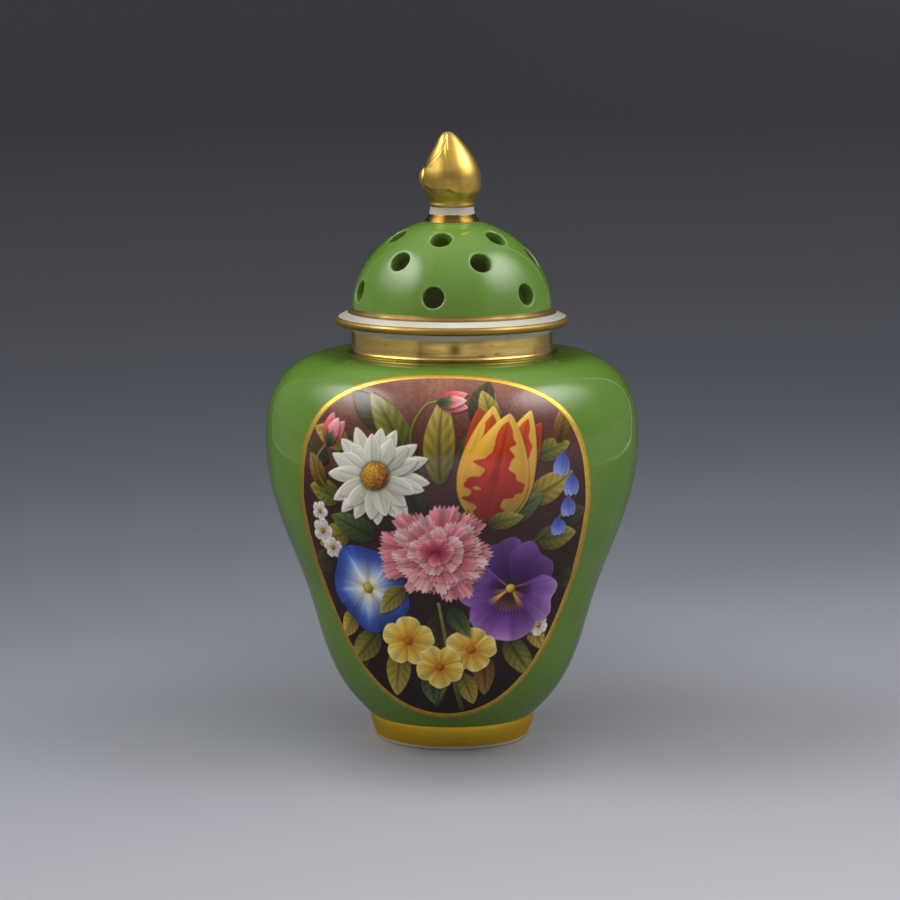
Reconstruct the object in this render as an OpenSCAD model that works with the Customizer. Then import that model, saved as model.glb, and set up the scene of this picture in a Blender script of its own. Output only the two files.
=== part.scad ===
// Covered potpourri vase in porcelain: a swelling body with a painted front panel, a low neck,
// and a pierced domed cover that carries a gilt bud.
// Millimetres, +Z up. The origin is the centre of the standing face, and the front faces -Y.

/* [Foot] */
// Height of the foot ring
foot_h = 6; // [4:0.1:9]
// Diameter of the foot ring where it meets the body
foot_top_d = 40.4; // [36:0.1:46]
// Diameter of the foot ring on the table
foot_base_d = 38; // [34:0.1:44]
// Thickness of the foot ring
foot_wall = 4.4; // [3:0.1:6]
// How far the side of the foot swells out
foot_swell = 0.3; // [0:0.1:1]
// Rounding of the foot's lower edge
foot_edge = 0.4; // [0.2:0.1:1]
// Height of the white rim below the foot's gilding
foot_rim_h = 0.9; // [0.6:0.1:2]

/* [Body] */
// Height of the body from the foot to the shoulder
body_h = 90.3; // [80:0.1:110]
// Widest diameter of the body
belly_d = 91.7; // [84:0.1:104]
// Height of the widest point above the foot
belly_h = 69.2; // [60:0.1:76]
// Diameter of the body at its lower taper
taper_d = 67.8; // [60:0.1:76]
// Height of the lower taper above the foot
taper_h = 25.6; // [20:0.1:30]
// Thickness of the body wall
body_wall = 3.2; // [2:0.1:4.5]
// Thickness of the floor inside the body
floor_t = 3.6; // [2:0.1:6]

/* [Body curve] */
// Roundness of the shoulder outwards from the neck, as a share of its width
shoulder_reach = 0.8; // [0.6:0.01:0.95]
// Roundness of the shoulder upwards from the belly, as a share of its height
shoulder_rise = 0.53; // [0.35:0.01:0.7]
// Roundness of the wall down from the belly, as a share of the fall to the taper
belly_fall = 0.4; // [0.25:0.01:0.5]
// Straightness of the wall above the taper, as a share of the same fall
taper_run = 0.39; // [0.25:0.01:0.5]
// Straightness of the wall below the taper, as a share of the taper's height
taper_drop = 0.53; // [0.4:0.01:0.6]
// Roundness of the wall above the foot, as a share of the taper's height
foot_rise = 0.4; // [0.3:0.01:0.5]
// How far the wall leans out for each millimetre of height at the taper
taper_lean = 0.265; // [0.15:0.005:0.35]
// Angle at which the wall leaves the foot
foot_angle = 43; // [36:1:55]

/* [Neck] */
// Outer diameter of the neck
neck_d = 49.2; // [46:0.1:52]
// Height of the neck above the shoulder
neck_h = 6.7; // [5.5:0.1:9]
// Thickness of the neck wall
neck_wall = 3.2; // [2:0.1:4.5]
// How far the neck spreads where it meets the shoulder
neck_flare = 1.3; // [0.4:0.1:2]
// Height of that spread
neck_flare_h = 2; // [1:0.1:3]
// Rounding of the neck's upper edge
neck_edge = 0.4; // [0.2:0.1:0.8]

/* [Cover] */
// How far the flange reaches out past the neck
flange_overhang = 4.2; // [3.5:0.1:6]
// Height of the flange's rounded edge
flange_edge_h = 1.9; // [1.4:0.1:3]
// How far the flange's edge is rounded
flange_edge_round = 0.9; // [0.6:0.1:1.4]
// Height of the sloping step from the edge to the dome
flange_step_h = 1.1; // [0.8:0.1:2.5]
// How far the dome's wall stands in from the flange's edge
dome_inset = 4.1; // [3.5:0.1:6]
// Height of the dome from the flange to the stem
dome_h = 22.2; // [17:0.1:26]
// How far the dome spreads where it meets the flange
dome_flare = 1; // [0.6:0.1:2]
// Height of that spread
dome_flare_h = 1.3; // [1:0.1:2.5]
// Thickness of the dome wall
cover_wall = 3.4; // [2.4:0.1:4.4]
// Depth of the ring that keeps the cover in the neck
ring_depth = 6; // [4:0.1:9]
// Thickness of that ring
ring_wall = 2.8; // [2:0.1:4]
// Clearance between the ring and the inside of the neck
ring_clearance = 0.5; // [0.3:0.05:1]

/* [Vents] */
// Diameter of a vent hole
vent_d = 5.2; // [3.5:0.1:6]
// Softening of a vent hole's outer edge
vent_soft = 0.4; // [0.2:0.05:0.7]
// Number of vent holes in each row
vent_count = 6; // [4:1:7]
// Place of the lower row up the curve of the dome, in degrees
vent_low = 14.5; // [12:0.5:17]
// Place of the middle row up the curve of the dome, in degrees
vent_middle = 36.5; // [34:0.5:39]
// Place of the upper row up the curve of the dome, in degrees
vent_high = 55; // [53:0.5:58]
// Turn of the lower and upper rows from the front, in degrees
vent_turn = -11; // [-30:1:30]
// Turn of the middle row from the other two, in degrees
vent_stagger = 31.5; // [26:0.5:34]

/* [Finial] */
// Diameter of the stem on the dome
stem_base_d = 13.2; // [12:0.1:15]
// Diameter of the stem under the bud
stem_top_d = 10.8; // [9:0.1:12]
// Height of the stem
stem_h = 3.6; // [3:0.1:6]
// Flat left on the dome around the stem
stem_ledge = 0.2; // [0.1:0.1:0.6]
// Height of the bud
bud_h = 18.2; // [15:0.1:22]
// Diameter of the bud
bud_d = 15; // [13:0.1:17]
// Height of the bud's widest point above the stem
bud_belly_h = 7; // [5:0.1:8.5]
// Diameter of the bud's blunt tip
bud_tip_d = 1.4; // [0.8:0.1:2]
// Number of petals
bud_petals = 5; // [4:1:7]
// Turn of the first petal from the front, in degrees
bud_turn = -25; // [-40:1:40]
// Depth of the creases between the petals
petal_crease = 0.8; // [0.2:0.1:1.2]
// How far the petal at the left stands out
petal_lobe = 1.3; // [0:0.1:2]
// How far the bud's tip leans to the left
bud_lean = 1; // [0:0.1:2]

/* [Gilding and enamel] */
// Thickness of the gilding
gilt_t = 0.2; // [0.1:0.05:0.4]
// Thickness of the painted enamel
enamel_t = 0.2; // [0.1:0.05:0.4]
// Space between a fired-on layer and the porcelain under it
layer_gap = 0.02; // [0.01:0.01:0.05]
// Height of white left above the neck's gilding
neck_white_h = 1.6; // [0.8:0.1:3]
// Height of white left above the stem's gilding
stem_white_h = 1.8; // [1:0.1:2.5]

/* [Front panel] */
// Green left at each side of the panel, seen from the front
panel_side_gap = 10.9; // [8:0.1:16]
// Height of green between the panel and the neck, seen from the front
panel_top_gap = 1.4; // [0.8:0.1:4]
// Height of green between the panel and the foot
panel_base_gap = 3.2; // [2:0.1:8]
// Height of the panel's widest point above the foot
panel_belly_h = 58.4; // [50:0.1:64]
// Roundness of the panel's top, as a share of its half width
panel_top_reach = 0.88; // [0.7:0.01:0.97]
// Roundness of the panel's upper sides, as a share of their height
panel_side_rise = 0.58; // [0.4:0.01:0.7]
// Roundness of the panel's lower sides, as a share of their height
panel_side_fall = 0.08; // [0.05:0.01:0.4]
// Roundness of the panel's bottom, as a share of its half width
panel_base_reach = 0.8; // [0.6:0.01:0.9]
// Turn of the panel from the front, in degrees
panel_turn = -3.5; // [-10:0.5:10]
// Width of the gilt border at the panel's sides, seen from the front
border_side_w = 1.4; // [0.8:0.1:2]
// Width of the gilt border at the panel's top, seen from the front
border_top_w = 0.95; // [0.5:0.05:1.5]
// Width of the gilt border at the panel's bottom, seen from the front
border_base_w = 1.5; // [0.8:0.1:2]

/* [Hidden] */

$fn = 96;
curve_steps = 14;
edge_steps = 6;
dome_steps = 20;

apple_green = [0.36, 0.58, 0.22];
porcelain_white = [0.93, 0.93, 0.91];
old_gold = [0.80, 0.60, 0.22];
panel_brown = [0.28, 0.13, 0.11];

// Heights, each standing on the one below
shoulder_z = foot_h + body_h;
seat_z = shoulder_z + neck_h;
flange_top_z = seat_z + flange_edge_h;
dome_z = flange_top_z + flange_step_h;
stem_z = dome_z + dome_h;
bud_z = stem_z + stem_h;
floor_z = foot_h + floor_t;

// Radii that more than one piece takes
belly_r = belly_d / 2;
neck_r = neck_d / 2;
neck_foot_r = neck_r + neck_flare;
mouth_r = neck_r - neck_wall;
ring_r = mouth_r - ring_clearance;
ring_bore_r = ring_r - ring_wall;
flange_r = neck_r + flange_overhang;
dome_r = flange_r - dome_inset;
dome_inner_r = dome_r - cover_wall;
dome_foot_r = dome_r + dome_flare;
foot_base_r = foot_base_d / 2;
foot_top_r = foot_top_d / 2;
foot_inner_r = foot_base_r - foot_wall;
stem_base_r = stem_base_d / 2;
stem_top_r = stem_top_d / 2;
dome_top_r = stem_base_r + stem_ledge;

// The dome is a quarter of an ellipse that is cut flat under the stem
dome_rise = dome_h / sqrt(1 - pow(dome_top_r / dome_r, 2));
dome_inner_rise = dome_rise - cover_wall;

// Curves

function bezier(p, n) = [for (i = [0:n]) let (t = i / n, u = 1 - t)
    u^3 * p[0] + 3 * u^2 * t * p[1] + 3 * u * t^2 * p[2] + t^3 * p[3]];

function reversed(list) = [for (i = [len(list) - 1:-1:0]) list[i]];

function without_first(list) = [for (i = [1:len(list) - 1]) list[i]];

function heading(list, i) =
    let (d = list[min(i + 1, len(list) - 1)] - list[max(i - 1, 0)]) d / norm(d);

// A curve that runs upwards, moved outwards by t square to itself
function grown(list, t) = [for (i = [0:len(list) - 1])
    let (d = heading(list, i)) list[i] + t * [d[1], -d[0]]];

// A hollow curve that leaves its low point almost level and reaches its high point upright
function cove(low, high) = let (d = high - low)
    bezier([low, low + [d[0] / 2, d[1] / 6], high - [0, d[1] / 2], high], edge_steps);

// The body's outline, from the foot up to the neck
foot_point = [foot_top_r, foot_h];
taper_point = [taper_d / 2, foot_h + taper_h];
belly_point = [belly_r, foot_h + belly_h];
neck_point = [neck_foot_r, shoulder_z];
foot_heading = [cos(foot_angle), sin(foot_angle)];
taper_heading = [taper_lean, 1] / norm([taper_lean, 1]);
belly_fall_h = belly_h - taper_h;
shoulder_h = body_h - belly_h;

lower_curve = bezier([foot_point, foot_point + foot_rise * taper_h * foot_heading,
    taper_point - taper_drop * taper_h * taper_heading, taper_point], curve_steps);
middle_curve = bezier([taper_point, taper_point + taper_run * belly_fall_h * taper_heading,
    belly_point - [0, belly_fall * belly_fall_h], belly_point], curve_steps);
upper_curve = bezier([belly_point, belly_point + [0, shoulder_rise * shoulder_h],
    neck_point + [shoulder_reach * (belly_r - neck_foot_r), 0], neck_point], curve_steps);
body_curve = concat(lower_curve, without_first(middle_curve), without_first(upper_curve));
cavity_curve = [for (p = grown(body_curve, -body_wall)) if (p[1] > floor_z) p];

foot_curve = bezier([[foot_base_r, foot_edge], [foot_base_r + foot_swell, foot_h / 3],
    [foot_top_r + foot_swell, foot_h * 2 / 3], [foot_top_r, foot_h]], edge_steps);

neck_curve = concat(cove(neck_point, [neck_r, shoulder_z + neck_flare_h]), [[neck_r, seat_z - neck_edge]]);

flange_edge_curve = [for (i = [0:2 * edge_steps]) let (a = 90 * (i / edge_steps - 1))
    [flange_r - flange_edge_round * (1 - cos(a)), seat_z + flange_edge_h * (1 + sin(a)) / 2]];

// Points on the dome by the angle up its curve
function dome_point(a) = [dome_r * cos(a), dome_z + dome_rise * sin(a)];
function dome_inner_point(a) = [dome_inner_r * cos(a), dome_z + dome_inner_rise * sin(a)];
flare_angle = asin(dome_flare_h / dome_rise);
dome_end_angle = acos(dome_top_r / dome_r);
dome_flare_curve = cove([dome_foot_r, dome_z], dome_point(flare_angle));
dome_curve = [for (i = [1:dome_steps])
    dome_point(flare_angle + (dome_end_angle - flare_angle) * i / dome_steps)];
dome_inner_curve = [for (i = [0:dome_steps]) dome_inner_point(90 * i / dome_steps)];

stem_curve = cove([stem_base_r, stem_z], [stem_top_r, bud_z]);

// Shapes that several pieces share

// A thin layer that lies on a turned surface
module layer(curve, t) {
    rotate_extrude() polygon(concat(grown(curve, layer_gap), reversed(grown(curve, layer_gap + t))));
}

// Everything between two heights
module slab(from_z, to_z) {
    translate([0, 0, from_z]) cylinder(h = to_z - from_z, r = belly_d);
}

function panel_half(side_in, top_in, base_in) =
    let (w = belly_r - panel_side_gap - side_in,
        top = shoulder_z - panel_top_gap - top_in,
        base = foot_h + panel_base_gap + base_in,
        mid = foot_h + panel_belly_h)
    concat(
        bezier([[0, base], [panel_base_reach * w, base],
            [w, mid - panel_side_fall * (mid - base)], [w, mid]], curve_steps),
        without_first(bezier([[w, mid], [w, mid + panel_side_rise * (top - mid)],
            [panel_top_reach * w, top], [0, top]], curve_steps)));

// The panel's outline, drawn forwards through the body's front wall
module panel_prism(side_in, top_in, base_in) {
    half = panel_half(side_in, top_in, base_in);
    left = [for (i = [len(half) - 2:-1:1]) [-half[i][0], half[i][1]]];
    rotate([0, 0, panel_turn]) rotate([90, 0, 0])
        linear_extrude(height = belly_d) polygon(concat(half, left));
}

// One vent hole with its softened edge, square to the dome
module vent(up, turn) {
    p = dome_point(up);
    tilt = atan2(sin(up) / dome_rise, cos(up) / dome_r);
    depth = 2 * cover_wall;
    rotate([0, 0, turn - 90]) translate([p[0], 0, p[1]]) rotate([0, 90 - tilt, 0]) {
        translate([0, 0, -depth]) cylinder(h = 2 * depth, d = vent_d);
        translate([0, 0, -vent_soft])
            cylinder(h = 3 * vent_soft, r1 = vent_d / 2, r2 = vent_d / 2 + 3 * vent_soft);
    }
}

module vent_row(up, turn) {
    for (i = [0:vent_count - 1]) vent(up, turn + 360 * i / vent_count);
}

// The vase

module vase_body() {
    color(apple_green) rotate_extrude() polygon(concat(
        [[0, foot_h]], body_curve,
        [[mouth_r, shoulder_z], [mouth_r, shoulder_z - body_wall]],
        reversed(cavity_curve),
        [[cavity_curve[0][0], floor_z], [0, floor_z]]));
}

module foot_ring() {
    color(porcelain_white) rotate_extrude() polygon(concat(
        [[foot_inner_r, 0], [foot_base_r - foot_edge, 0]], foot_curve, [[foot_inner_r, foot_h]]));
}

module foot_gilt_band() {
    color(old_gold) intersection() {
        layer(foot_curve, gilt_t);
        slab(foot_rim_h, foot_h);
    }
}

module neck_collar() {
    color(porcelain_white) rotate_extrude() polygon(concat(
        [[mouth_r, shoulder_z]], neck_curve,
        [[neck_r - neck_edge, seat_z], [mouth_r + neck_edge, seat_z], [mouth_r, seat_z - neck_edge]]));
}

module neck_gilt_band() {
    color(old_gold) intersection() {
        layer(neck_curve, gilt_t);
        slab(shoulder_z, seat_z - neck_white_h);
    }
}

module front_panel() {
    color(panel_brown) intersection() {
        layer(body_curve, enamel_t);
        panel_prism(border_side_w, border_top_w, border_base_w);
    }
}

module panel_gilt_border() {
    color(old_gold) intersection() {
        layer(body_curve, gilt_t);
        difference() {
            panel_prism(0, 0, 0);
            panel_prism(border_side_w, border_top_w, border_base_w);
        }
    }
}

// The cover

module locating_ring() {
    color(porcelain_white) rotate_extrude() polygon([
        [ring_bore_r, seat_z - ring_depth], [ring_r, seat_z - ring_depth],
        [ring_r, seat_z], [ring_bore_r, seat_z]]);
}

module cover_flange() {
    color(porcelain_white) rotate_extrude() polygon(concat(
        [[ring_bore_r, seat_z]], flange_edge_curve,
        [[dome_foot_r, dome_z], [dome_inner_r, dome_z]]));
}

module flange_gilt_edge() {
    color(old_gold) intersection() {
        layer(flange_edge_curve, gilt_t);
        slab(seat_z, flange_top_z);
    }
}

module cover_dome() {
    color(apple_green) difference() {
        rotate_extrude() polygon(concat(
            dome_flare_curve, dome_curve, [[0, stem_z]], reversed(dome_inner_curve)));
        vent_row(vent_low, vent_turn);
        vent_row(vent_middle, vent_turn + vent_stagger);
        vent_row(vent_high, vent_turn);
    }
}

module dome_gilt_line() {
    color(old_gold) intersection() {
        layer(dome_flare_curve, gilt_t);
        slab(dome_z, dome_z + dome_flare_h);
    }
}

module finial_stem() {
    color(porcelain_white) rotate_extrude() polygon(concat(
        [[0, stem_z]], stem_curve, [[0, bud_z]]));
}

module stem_gilt_band() {
    color(old_gold) intersection() {
        layer(stem_curve, gilt_t);
        slab(stem_z, bud_z - stem_white_h);
    }
}

// The bud is drawn in rings, from the stem to just below the tip

bud_sides = 60;
bud_lower_steps = 10;
bud_upper_steps = 16;
bud_cup_rise = 0.35;
bud_cup_round = 0.45;
bud_cone_rise = 0.4;
bud_cone_reach = 0.25;
swell_power = 0.7;
crease_power = 3;
lobe_narrowness = 6;
lobe_roundness = 2;
lobe_low = 0.17;
lobe_high = 0.61;

bud_r = bud_d / 2;
bud_cone_h = bud_h - bud_belly_h;
bud_lobe_turn = bud_turn - 360 / bud_petals;
bud_lower = bezier([[stem_top_r, 0], [stem_top_r, bud_belly_h * bud_cup_rise],
    [bud_r, bud_belly_h * bud_cup_round], [bud_r, bud_belly_h]], bud_lower_steps);
bud_upper = bezier([[bud_r, bud_belly_h], [bud_r, bud_belly_h + bud_cone_h * bud_cone_rise],
    [bud_r * bud_cone_reach, bud_h], [bud_tip_d / 2, bud_h]], bud_upper_steps);
bud_curve = concat(bud_lower, without_first(bud_upper));

// A share of height runs from 0 at the stem to 1 at the tip
function hump(share) = max(0, sin(180 * min(1, share)));
function crease(turn) = pow(1 - abs(cos(bud_petals * (turn - bud_turn) / 2)), crease_power);
function lobe(turn, share) = let (up = (share - lobe_low) / (lobe_high - lobe_low))
    pow(max(0, cos(turn - bud_lobe_turn)), lobe_narrowness) * pow(hump(up), lobe_roundness);

function bud_radius(p, turn) = let (share = p[1] / bud_h)
    p[0] - petal_crease * pow(hump(share), swell_power) * crease(turn) + petal_lobe * lobe(turn, share);

function bud_ring(p) = [for (j = [0:bud_sides - 1])
    let (turn = 360 * j / bud_sides, r = bud_radius(p, turn), share = p[1] / bud_h)
    [r * sin(turn) - bud_lean * share * share, -r * cos(turn), bud_z + p[1]]];

module bud_finial() {
    rings = len(bud_curve);
    ring_points = [for (p = bud_curve) each bud_ring(p)];
    base = rings * bud_sides;
    points = concat(ring_points, [[0, 0, bud_z], [-bud_lean, 0, bud_z + bud_h]]);
    function at(i, j) = i * bud_sides + j % bud_sides;
    side = [for (i = [0:rings - 2], j = [0:bud_sides - 1]) each [
        [at(i, j), at(i + 1, j), at(i + 1, j + 1)],
        [at(i, j), at(i + 1, j + 1), at(i, j + 1)]]];
    under = [for (j = [0:bud_sides - 1]) [base, at(0, j), at(0, j + 1)]];
    tip = [for (j = [0:bud_sides - 1]) [base + 1, at(rings - 1, j + 1), at(rings - 1, j)]];
    color(old_gold) polyhedron(points, concat(side, under, tip));
}

vase_body();
foot_ring();
foot_gilt_band();
neck_collar();
neck_gilt_band();
front_panel();
panel_gilt_border();
locating_ring();
cover_flange();
flange_gilt_edge();
cover_dome();
dome_gilt_line();
finial_stem();
stem_gilt_band();
bud_finial();
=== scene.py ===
# A covered potpourri vase in porcelain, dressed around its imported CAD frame: turned walls under a
# green glaze, worn gilding, a pierced cover with a gilt bud, and a hand-painted panel of flowers.
import math

import bpy
import numpy as np
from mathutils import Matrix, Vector
from mathutils.geometry import delaunay_2d_cdt


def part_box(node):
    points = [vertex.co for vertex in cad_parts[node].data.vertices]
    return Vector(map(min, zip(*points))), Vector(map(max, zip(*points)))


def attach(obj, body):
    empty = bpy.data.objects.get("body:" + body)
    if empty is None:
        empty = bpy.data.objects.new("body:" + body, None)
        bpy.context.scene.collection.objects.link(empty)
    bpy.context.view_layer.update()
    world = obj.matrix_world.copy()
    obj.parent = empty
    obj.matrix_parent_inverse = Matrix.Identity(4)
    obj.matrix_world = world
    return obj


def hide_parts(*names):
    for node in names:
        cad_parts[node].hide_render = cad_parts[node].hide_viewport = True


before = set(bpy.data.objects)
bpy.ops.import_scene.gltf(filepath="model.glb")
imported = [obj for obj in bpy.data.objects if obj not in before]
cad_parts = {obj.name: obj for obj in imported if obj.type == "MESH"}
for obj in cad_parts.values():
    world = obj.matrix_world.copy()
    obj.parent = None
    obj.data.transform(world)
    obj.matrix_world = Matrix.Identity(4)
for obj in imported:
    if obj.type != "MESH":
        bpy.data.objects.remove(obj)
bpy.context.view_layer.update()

# Shapes are worked out in millimetres and stored in metres
MM = 0.001
TURNS = 256
CURVE_STEPS = 40
SHARP_ANGLE = math.radians(38)


# Sizes that come from the frame

def low_z(node):
    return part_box(node)[0][2] / MM


def top_z(node):
    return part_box(node)[1][2] / MM


def half_width(node):
    low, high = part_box(node)
    return max(high[0] - low[0], high[1] - low[1]) / 2 / MM


foot_h = top_z("foot_ring")
shoulder_z = top_z("vase_body")
seat_z = top_z("neck_collar")
flange_top_z = top_z("flange_gilt_edge")
dome_z = low_z("cover_dome")
stem_z = low_z("finial_stem")
bud_z = low_z("bud_finial")
bud_h = top_z("bud_finial") - bud_z
ring_low_z = low_z("locating_ring")
belly_r = half_width("vase_body")
neck_foot_r = half_width("neck_collar")
dome_foot_r = half_width("cover_dome")
ring_r = half_width("locating_ring")
stem_base_r = half_width("finial_stem")
foot_gilt_low = low_z("foot_gilt_band")
neck_gilt_top = top_z("neck_gilt_band")
stem_gilt_top = top_z("stem_gilt_band")

# Sizes and shares that repeat the part's source
foot_top_r = 20.2
foot_base_r = 19.0
foot_inner_r = 14.6
foot_swell = 0.3
foot_edge = 0.4
body_wall = 3.2
floor_z = foot_h + 3.6
belly_z = foot_h + 69.2
taper_r = 33.9
taper_h = 25.6
taper_lean = 0.265
taper_drop = 0.53
taper_run = 0.39
foot_angle = math.radians(43)
foot_rise = 0.4
belly_fall = 0.4
shoulder_rise = 0.53
shoulder_reach = 0.8
neck_r = neck_foot_r - 1.3
neck_edge = 0.4
mouth_r = neck_r - 3.2
ring_bore_r = ring_r - 2.8
flange_r = neck_r + 4.2
flange_round = 0.9
dome_r = dome_foot_r - 1.0
dome_flare_h = 1.3
cover_wall = 3.4
dome_top_r = stem_base_r + 0.2
stem_top_r = 5.4
dome_inner_r = dome_r - cover_wall
dome_rise = (stem_z - dome_z) / math.sqrt(1 - (dome_top_r / dome_r) ** 2)
dome_inner_rise = dome_rise - cover_wall

# The cove at the foot of the neck, lower here than in the part's source: its height, and how far its curve
# is drawn along the shoulder and down the neck
cove_h = 1.3
cove_level = 0.72
cove_upright = 0.72

# Thickness that a fired-on layer shows, and how deep its closed underside sits in the porcelain
GILT_SHOWN = 0.06
LAYER_ROOT = 0.04


# Curves of (radius, height)

def bezier(p0, p1, p2, p3, steps=CURVE_STEPS):
    t = np.linspace(0, 1, steps + 1)[:, None]
    p0, p1, p2, p3 = (np.asarray(p, float) for p in (p0, p1, p2, p3))
    u = 1 - t
    return u ** 3 * p0 + 3 * u ** 2 * t * p1 + 3 * u * t ** 2 * p2 + t ** 3 * p3


def joined(*curves):
    parts = [np.asarray(curves[0], float)]
    for curve in curves[1:]:
        curve = np.asarray(curve, float)
        same = np.allclose(curve[0], parts[-1][-1])
        parts.append(curve[1:] if same else curve)
    return np.concatenate(parts)


def normals_of(curve):
    """Directions square to a curve that runs upwards, pointing outwards."""
    run = np.gradient(curve, axis=0)
    run /= np.linalg.norm(run, axis=1)[:, None]
    return np.stack([run[:, 1], -run[:, 0]], axis=1)


def run_lengths(curve):
    """Length along a curve up to each of its points."""
    return np.concatenate([[0], np.cumsum(np.linalg.norm(np.diff(curve, axis=0), axis=1))])


def ease(value):
    value = np.clip(value, 0, 1)
    return value * value * (3 - 2 * value)


def cove(low, high, steps=16):
    """A hollow curve that leaves its low point almost level and reaches its high point upright."""
    low, high = np.asarray(low, float), np.asarray(high, float)
    rise = high - low
    return bezier(low, low + rise * (0.5, 1 / 6), high - (0, rise[1] / 2), high, steps)


def body_outline():
    foot = np.array([foot_top_r, foot_h])
    taper = np.array([taper_r, foot_h + taper_h])
    belly = np.array([belly_r, belly_z])
    neck = np.array([neck_foot_r, shoulder_z])
    lean = np.array([taper_lean, 1.0])
    lean /= np.linalg.norm(lean)
    leave = np.array([math.cos(foot_angle), math.sin(foot_angle)])
    fall = belly_z - foot_h - taper_h
    rise = shoulder_z - belly_z
    inwards = belly_r - neck_foot_r
    lower = bezier(foot, foot + foot_rise * taper_h * leave, taper - taper_drop * taper_h * lean, taper)
    middle = bezier(taper, taper + taper_run * fall * lean, belly - (0, belly_fall * fall), belly)
    upper = bezier(belly, belly + (0, shoulder_rise * rise), neck + (shoulder_reach * inwards, 0), neck)
    return joined(lower, middle, upper)


def dome_point(up):
    return np.array([dome_r * math.cos(up), dome_z + dome_rise * math.sin(up)])


body_curve = body_outline()
foot_curve = bezier((foot_base_r, foot_edge), (foot_base_r + foot_swell, foot_h / 3),
                    (foot_top_r + foot_swell, foot_h * 2 / 3), (foot_top_r, foot_h), 16)
neck_cove = bezier((neck_foot_r, shoulder_z), (neck_foot_r - cove_level, shoulder_z),
                   (neck_r, shoulder_z + cove_h - cove_upright), (neck_r, shoulder_z + cove_h), 16)
neck_curve = joined(neck_cove, [(neck_r, z) for z in np.linspace(shoulder_z + cove_h, seat_z - neck_edge, 9)])
flare_up = math.asin(dome_flare_h / dome_rise)
dome_end_up = math.acos(dome_top_r / dome_r)
dome_flare_curve = cove((dome_foot_r, dome_z), dome_point(flare_up))
stem_curve = cove((stem_base_r, stem_z), (stem_top_r, bud_z))
flange_angles = np.linspace(-math.pi / 2, math.pi / 2, 25)
flange_curve = np.stack([flange_r - flange_round * (1 - np.cos(flange_angles)),
                         seat_z + (flange_top_z - seat_z) * (1 + np.sin(flange_angles)) / 2], axis=1)


# Meshes

def around(azimuth, radius, height):
    """Points by azimuth, which is 0 at the front (-Y) and grows towards +X."""
    azimuth, radius, height = np.broadcast_arrays(azimuth, radius, height)
    return np.stack([radius * np.sin(azimuth), -radius * np.cos(azimuth), height], axis=-1)


def whole_turn(count):
    return np.linspace(0, 2 * math.pi, count, endpoint=False)


def add_piece(name, points, faces, materials, body, nodes, face_materials=None):
    mesh = bpy.data.meshes.new(name)
    mesh.from_pydata((np.asarray(points) * MM).tolist(), [], faces)
    for material in materials:
        mesh.materials.append(material)
    if face_materials is not None:
        mesh.polygons.foreach_set("material_index", np.asarray(face_materials, np.int32))
    mesh.shade_smooth()
    mesh.set_sharp_from_angle(angle=SHARP_ANGLE)
    mesh.update()
    piece = bpy.data.objects.new(name, mesh)
    bpy.context.collection.objects.link(piece)
    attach(piece, body)
    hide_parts(*nodes)
    return piece


def loop_faces(low, high, count):
    """Quads between two rings of points, given the first index of each."""
    return [(low + j, low + (j + 1) % count, high + (j + 1) % count, high + j) for j in range(count)]


def tube_faces(rows, count):
    """Quads between rows of points that are rings, with the last row joined to the first."""
    faces = []
    for i in range(rows):
        faces += loop_faces(i * count, (i + 1) % rows * count, count)
    return faces


def turned(profile, segments=TURNS):
    """Points, faces and the profile span of each face for a closed profile turned round the axis."""
    azimuth = whole_turn(segments)
    points, starts, poles = [], [], []
    for radius, height in profile:
        pole = radius < 1e-6
        starts.append(sum(len(p) for p in points))
        poles.append(pole)
        points.append(np.array([[0, 0, height]]) if pole else around(azimuth, radius, height))
    faces, spans = [], []
    for i in range(len(profile)):
        k = (i + 1) % len(profile)
        if poles[i] and poles[k]:
            continue
        a, b = starts[i], starts[k]
        for j in range(segments):
            n = (j + 1) % segments
            if poles[i]:
                faces.append((a, b + n, b + j))
            elif poles[k]:
                faces.append((a + j, a + n, b))
            else:
                faces.append((a + j, a + n, b + n, b + j))
            spans.append(i)
    return np.concatenate(points), faces, np.array(spans)


def add_turned(name, profile, material, body, node, segments=TURNS):
    points, faces, _ = turned(profile, segments)
    add_piece(name, points, faces, [material], body, [node])


def wobble(azimuth, size, seed):
    """A slow unevenness round the axis, as a brush leaves along an edge."""
    rng = np.random.default_rng(seed)
    total = np.zeros_like(azimuth)
    for k in (2, 3, 5, 8, 13, 21, 34):
        total += rng.normal() / k ** 0.6 * np.sin(k * azimuth + rng.uniform(0, 2 * math.pi))
    return size * total / 2


def gilt_band(name, curve, start, end, edges, gold, body, nodes, seed, smudges=()):
    """A gilt layer on a turned curve between two lengths along it, with hand-drawn edges."""
    lengths = run_lengths(curve)
    outward = normals_of(curve)
    azimuth = whole_turn(TURNS)
    first = lengths[-1] * start + wobble(azimuth, edges[0], seed)
    last = lengths[-1] * end + wobble(azimuth, edges[1], seed + 1)
    across = np.linspace(0, 1, 25)
    lift = GILT_SHOWN * (1 - np.abs(2 * across - 1) ** 8)
    across = np.concatenate([across, across[::-1]])
    lift = np.concatenate([lift, np.full(len(lift), -LAYER_ROOT)])
    rows = []
    for share, height in zip(across, lift):
        at = np.clip(first + (last - first) * share, 0, lengths[-1])
        radius = np.interp(at, lengths, curve[:, 0]) + height * np.interp(at, lengths, outward[:, 0])
        level = np.interp(at, lengths, curve[:, 1]) + height * np.interp(at, lengths, outward[:, 1])
        rows.append(around(azimuth, radius, level))
    points = np.concatenate(rows)
    piece = add_piece(name, points, tube_faces(len(rows), TURNS), [gold], body, nodes)
    mark(piece, "smudges_and_crease_shade", sum_of_smudges(points, smudges))


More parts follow.
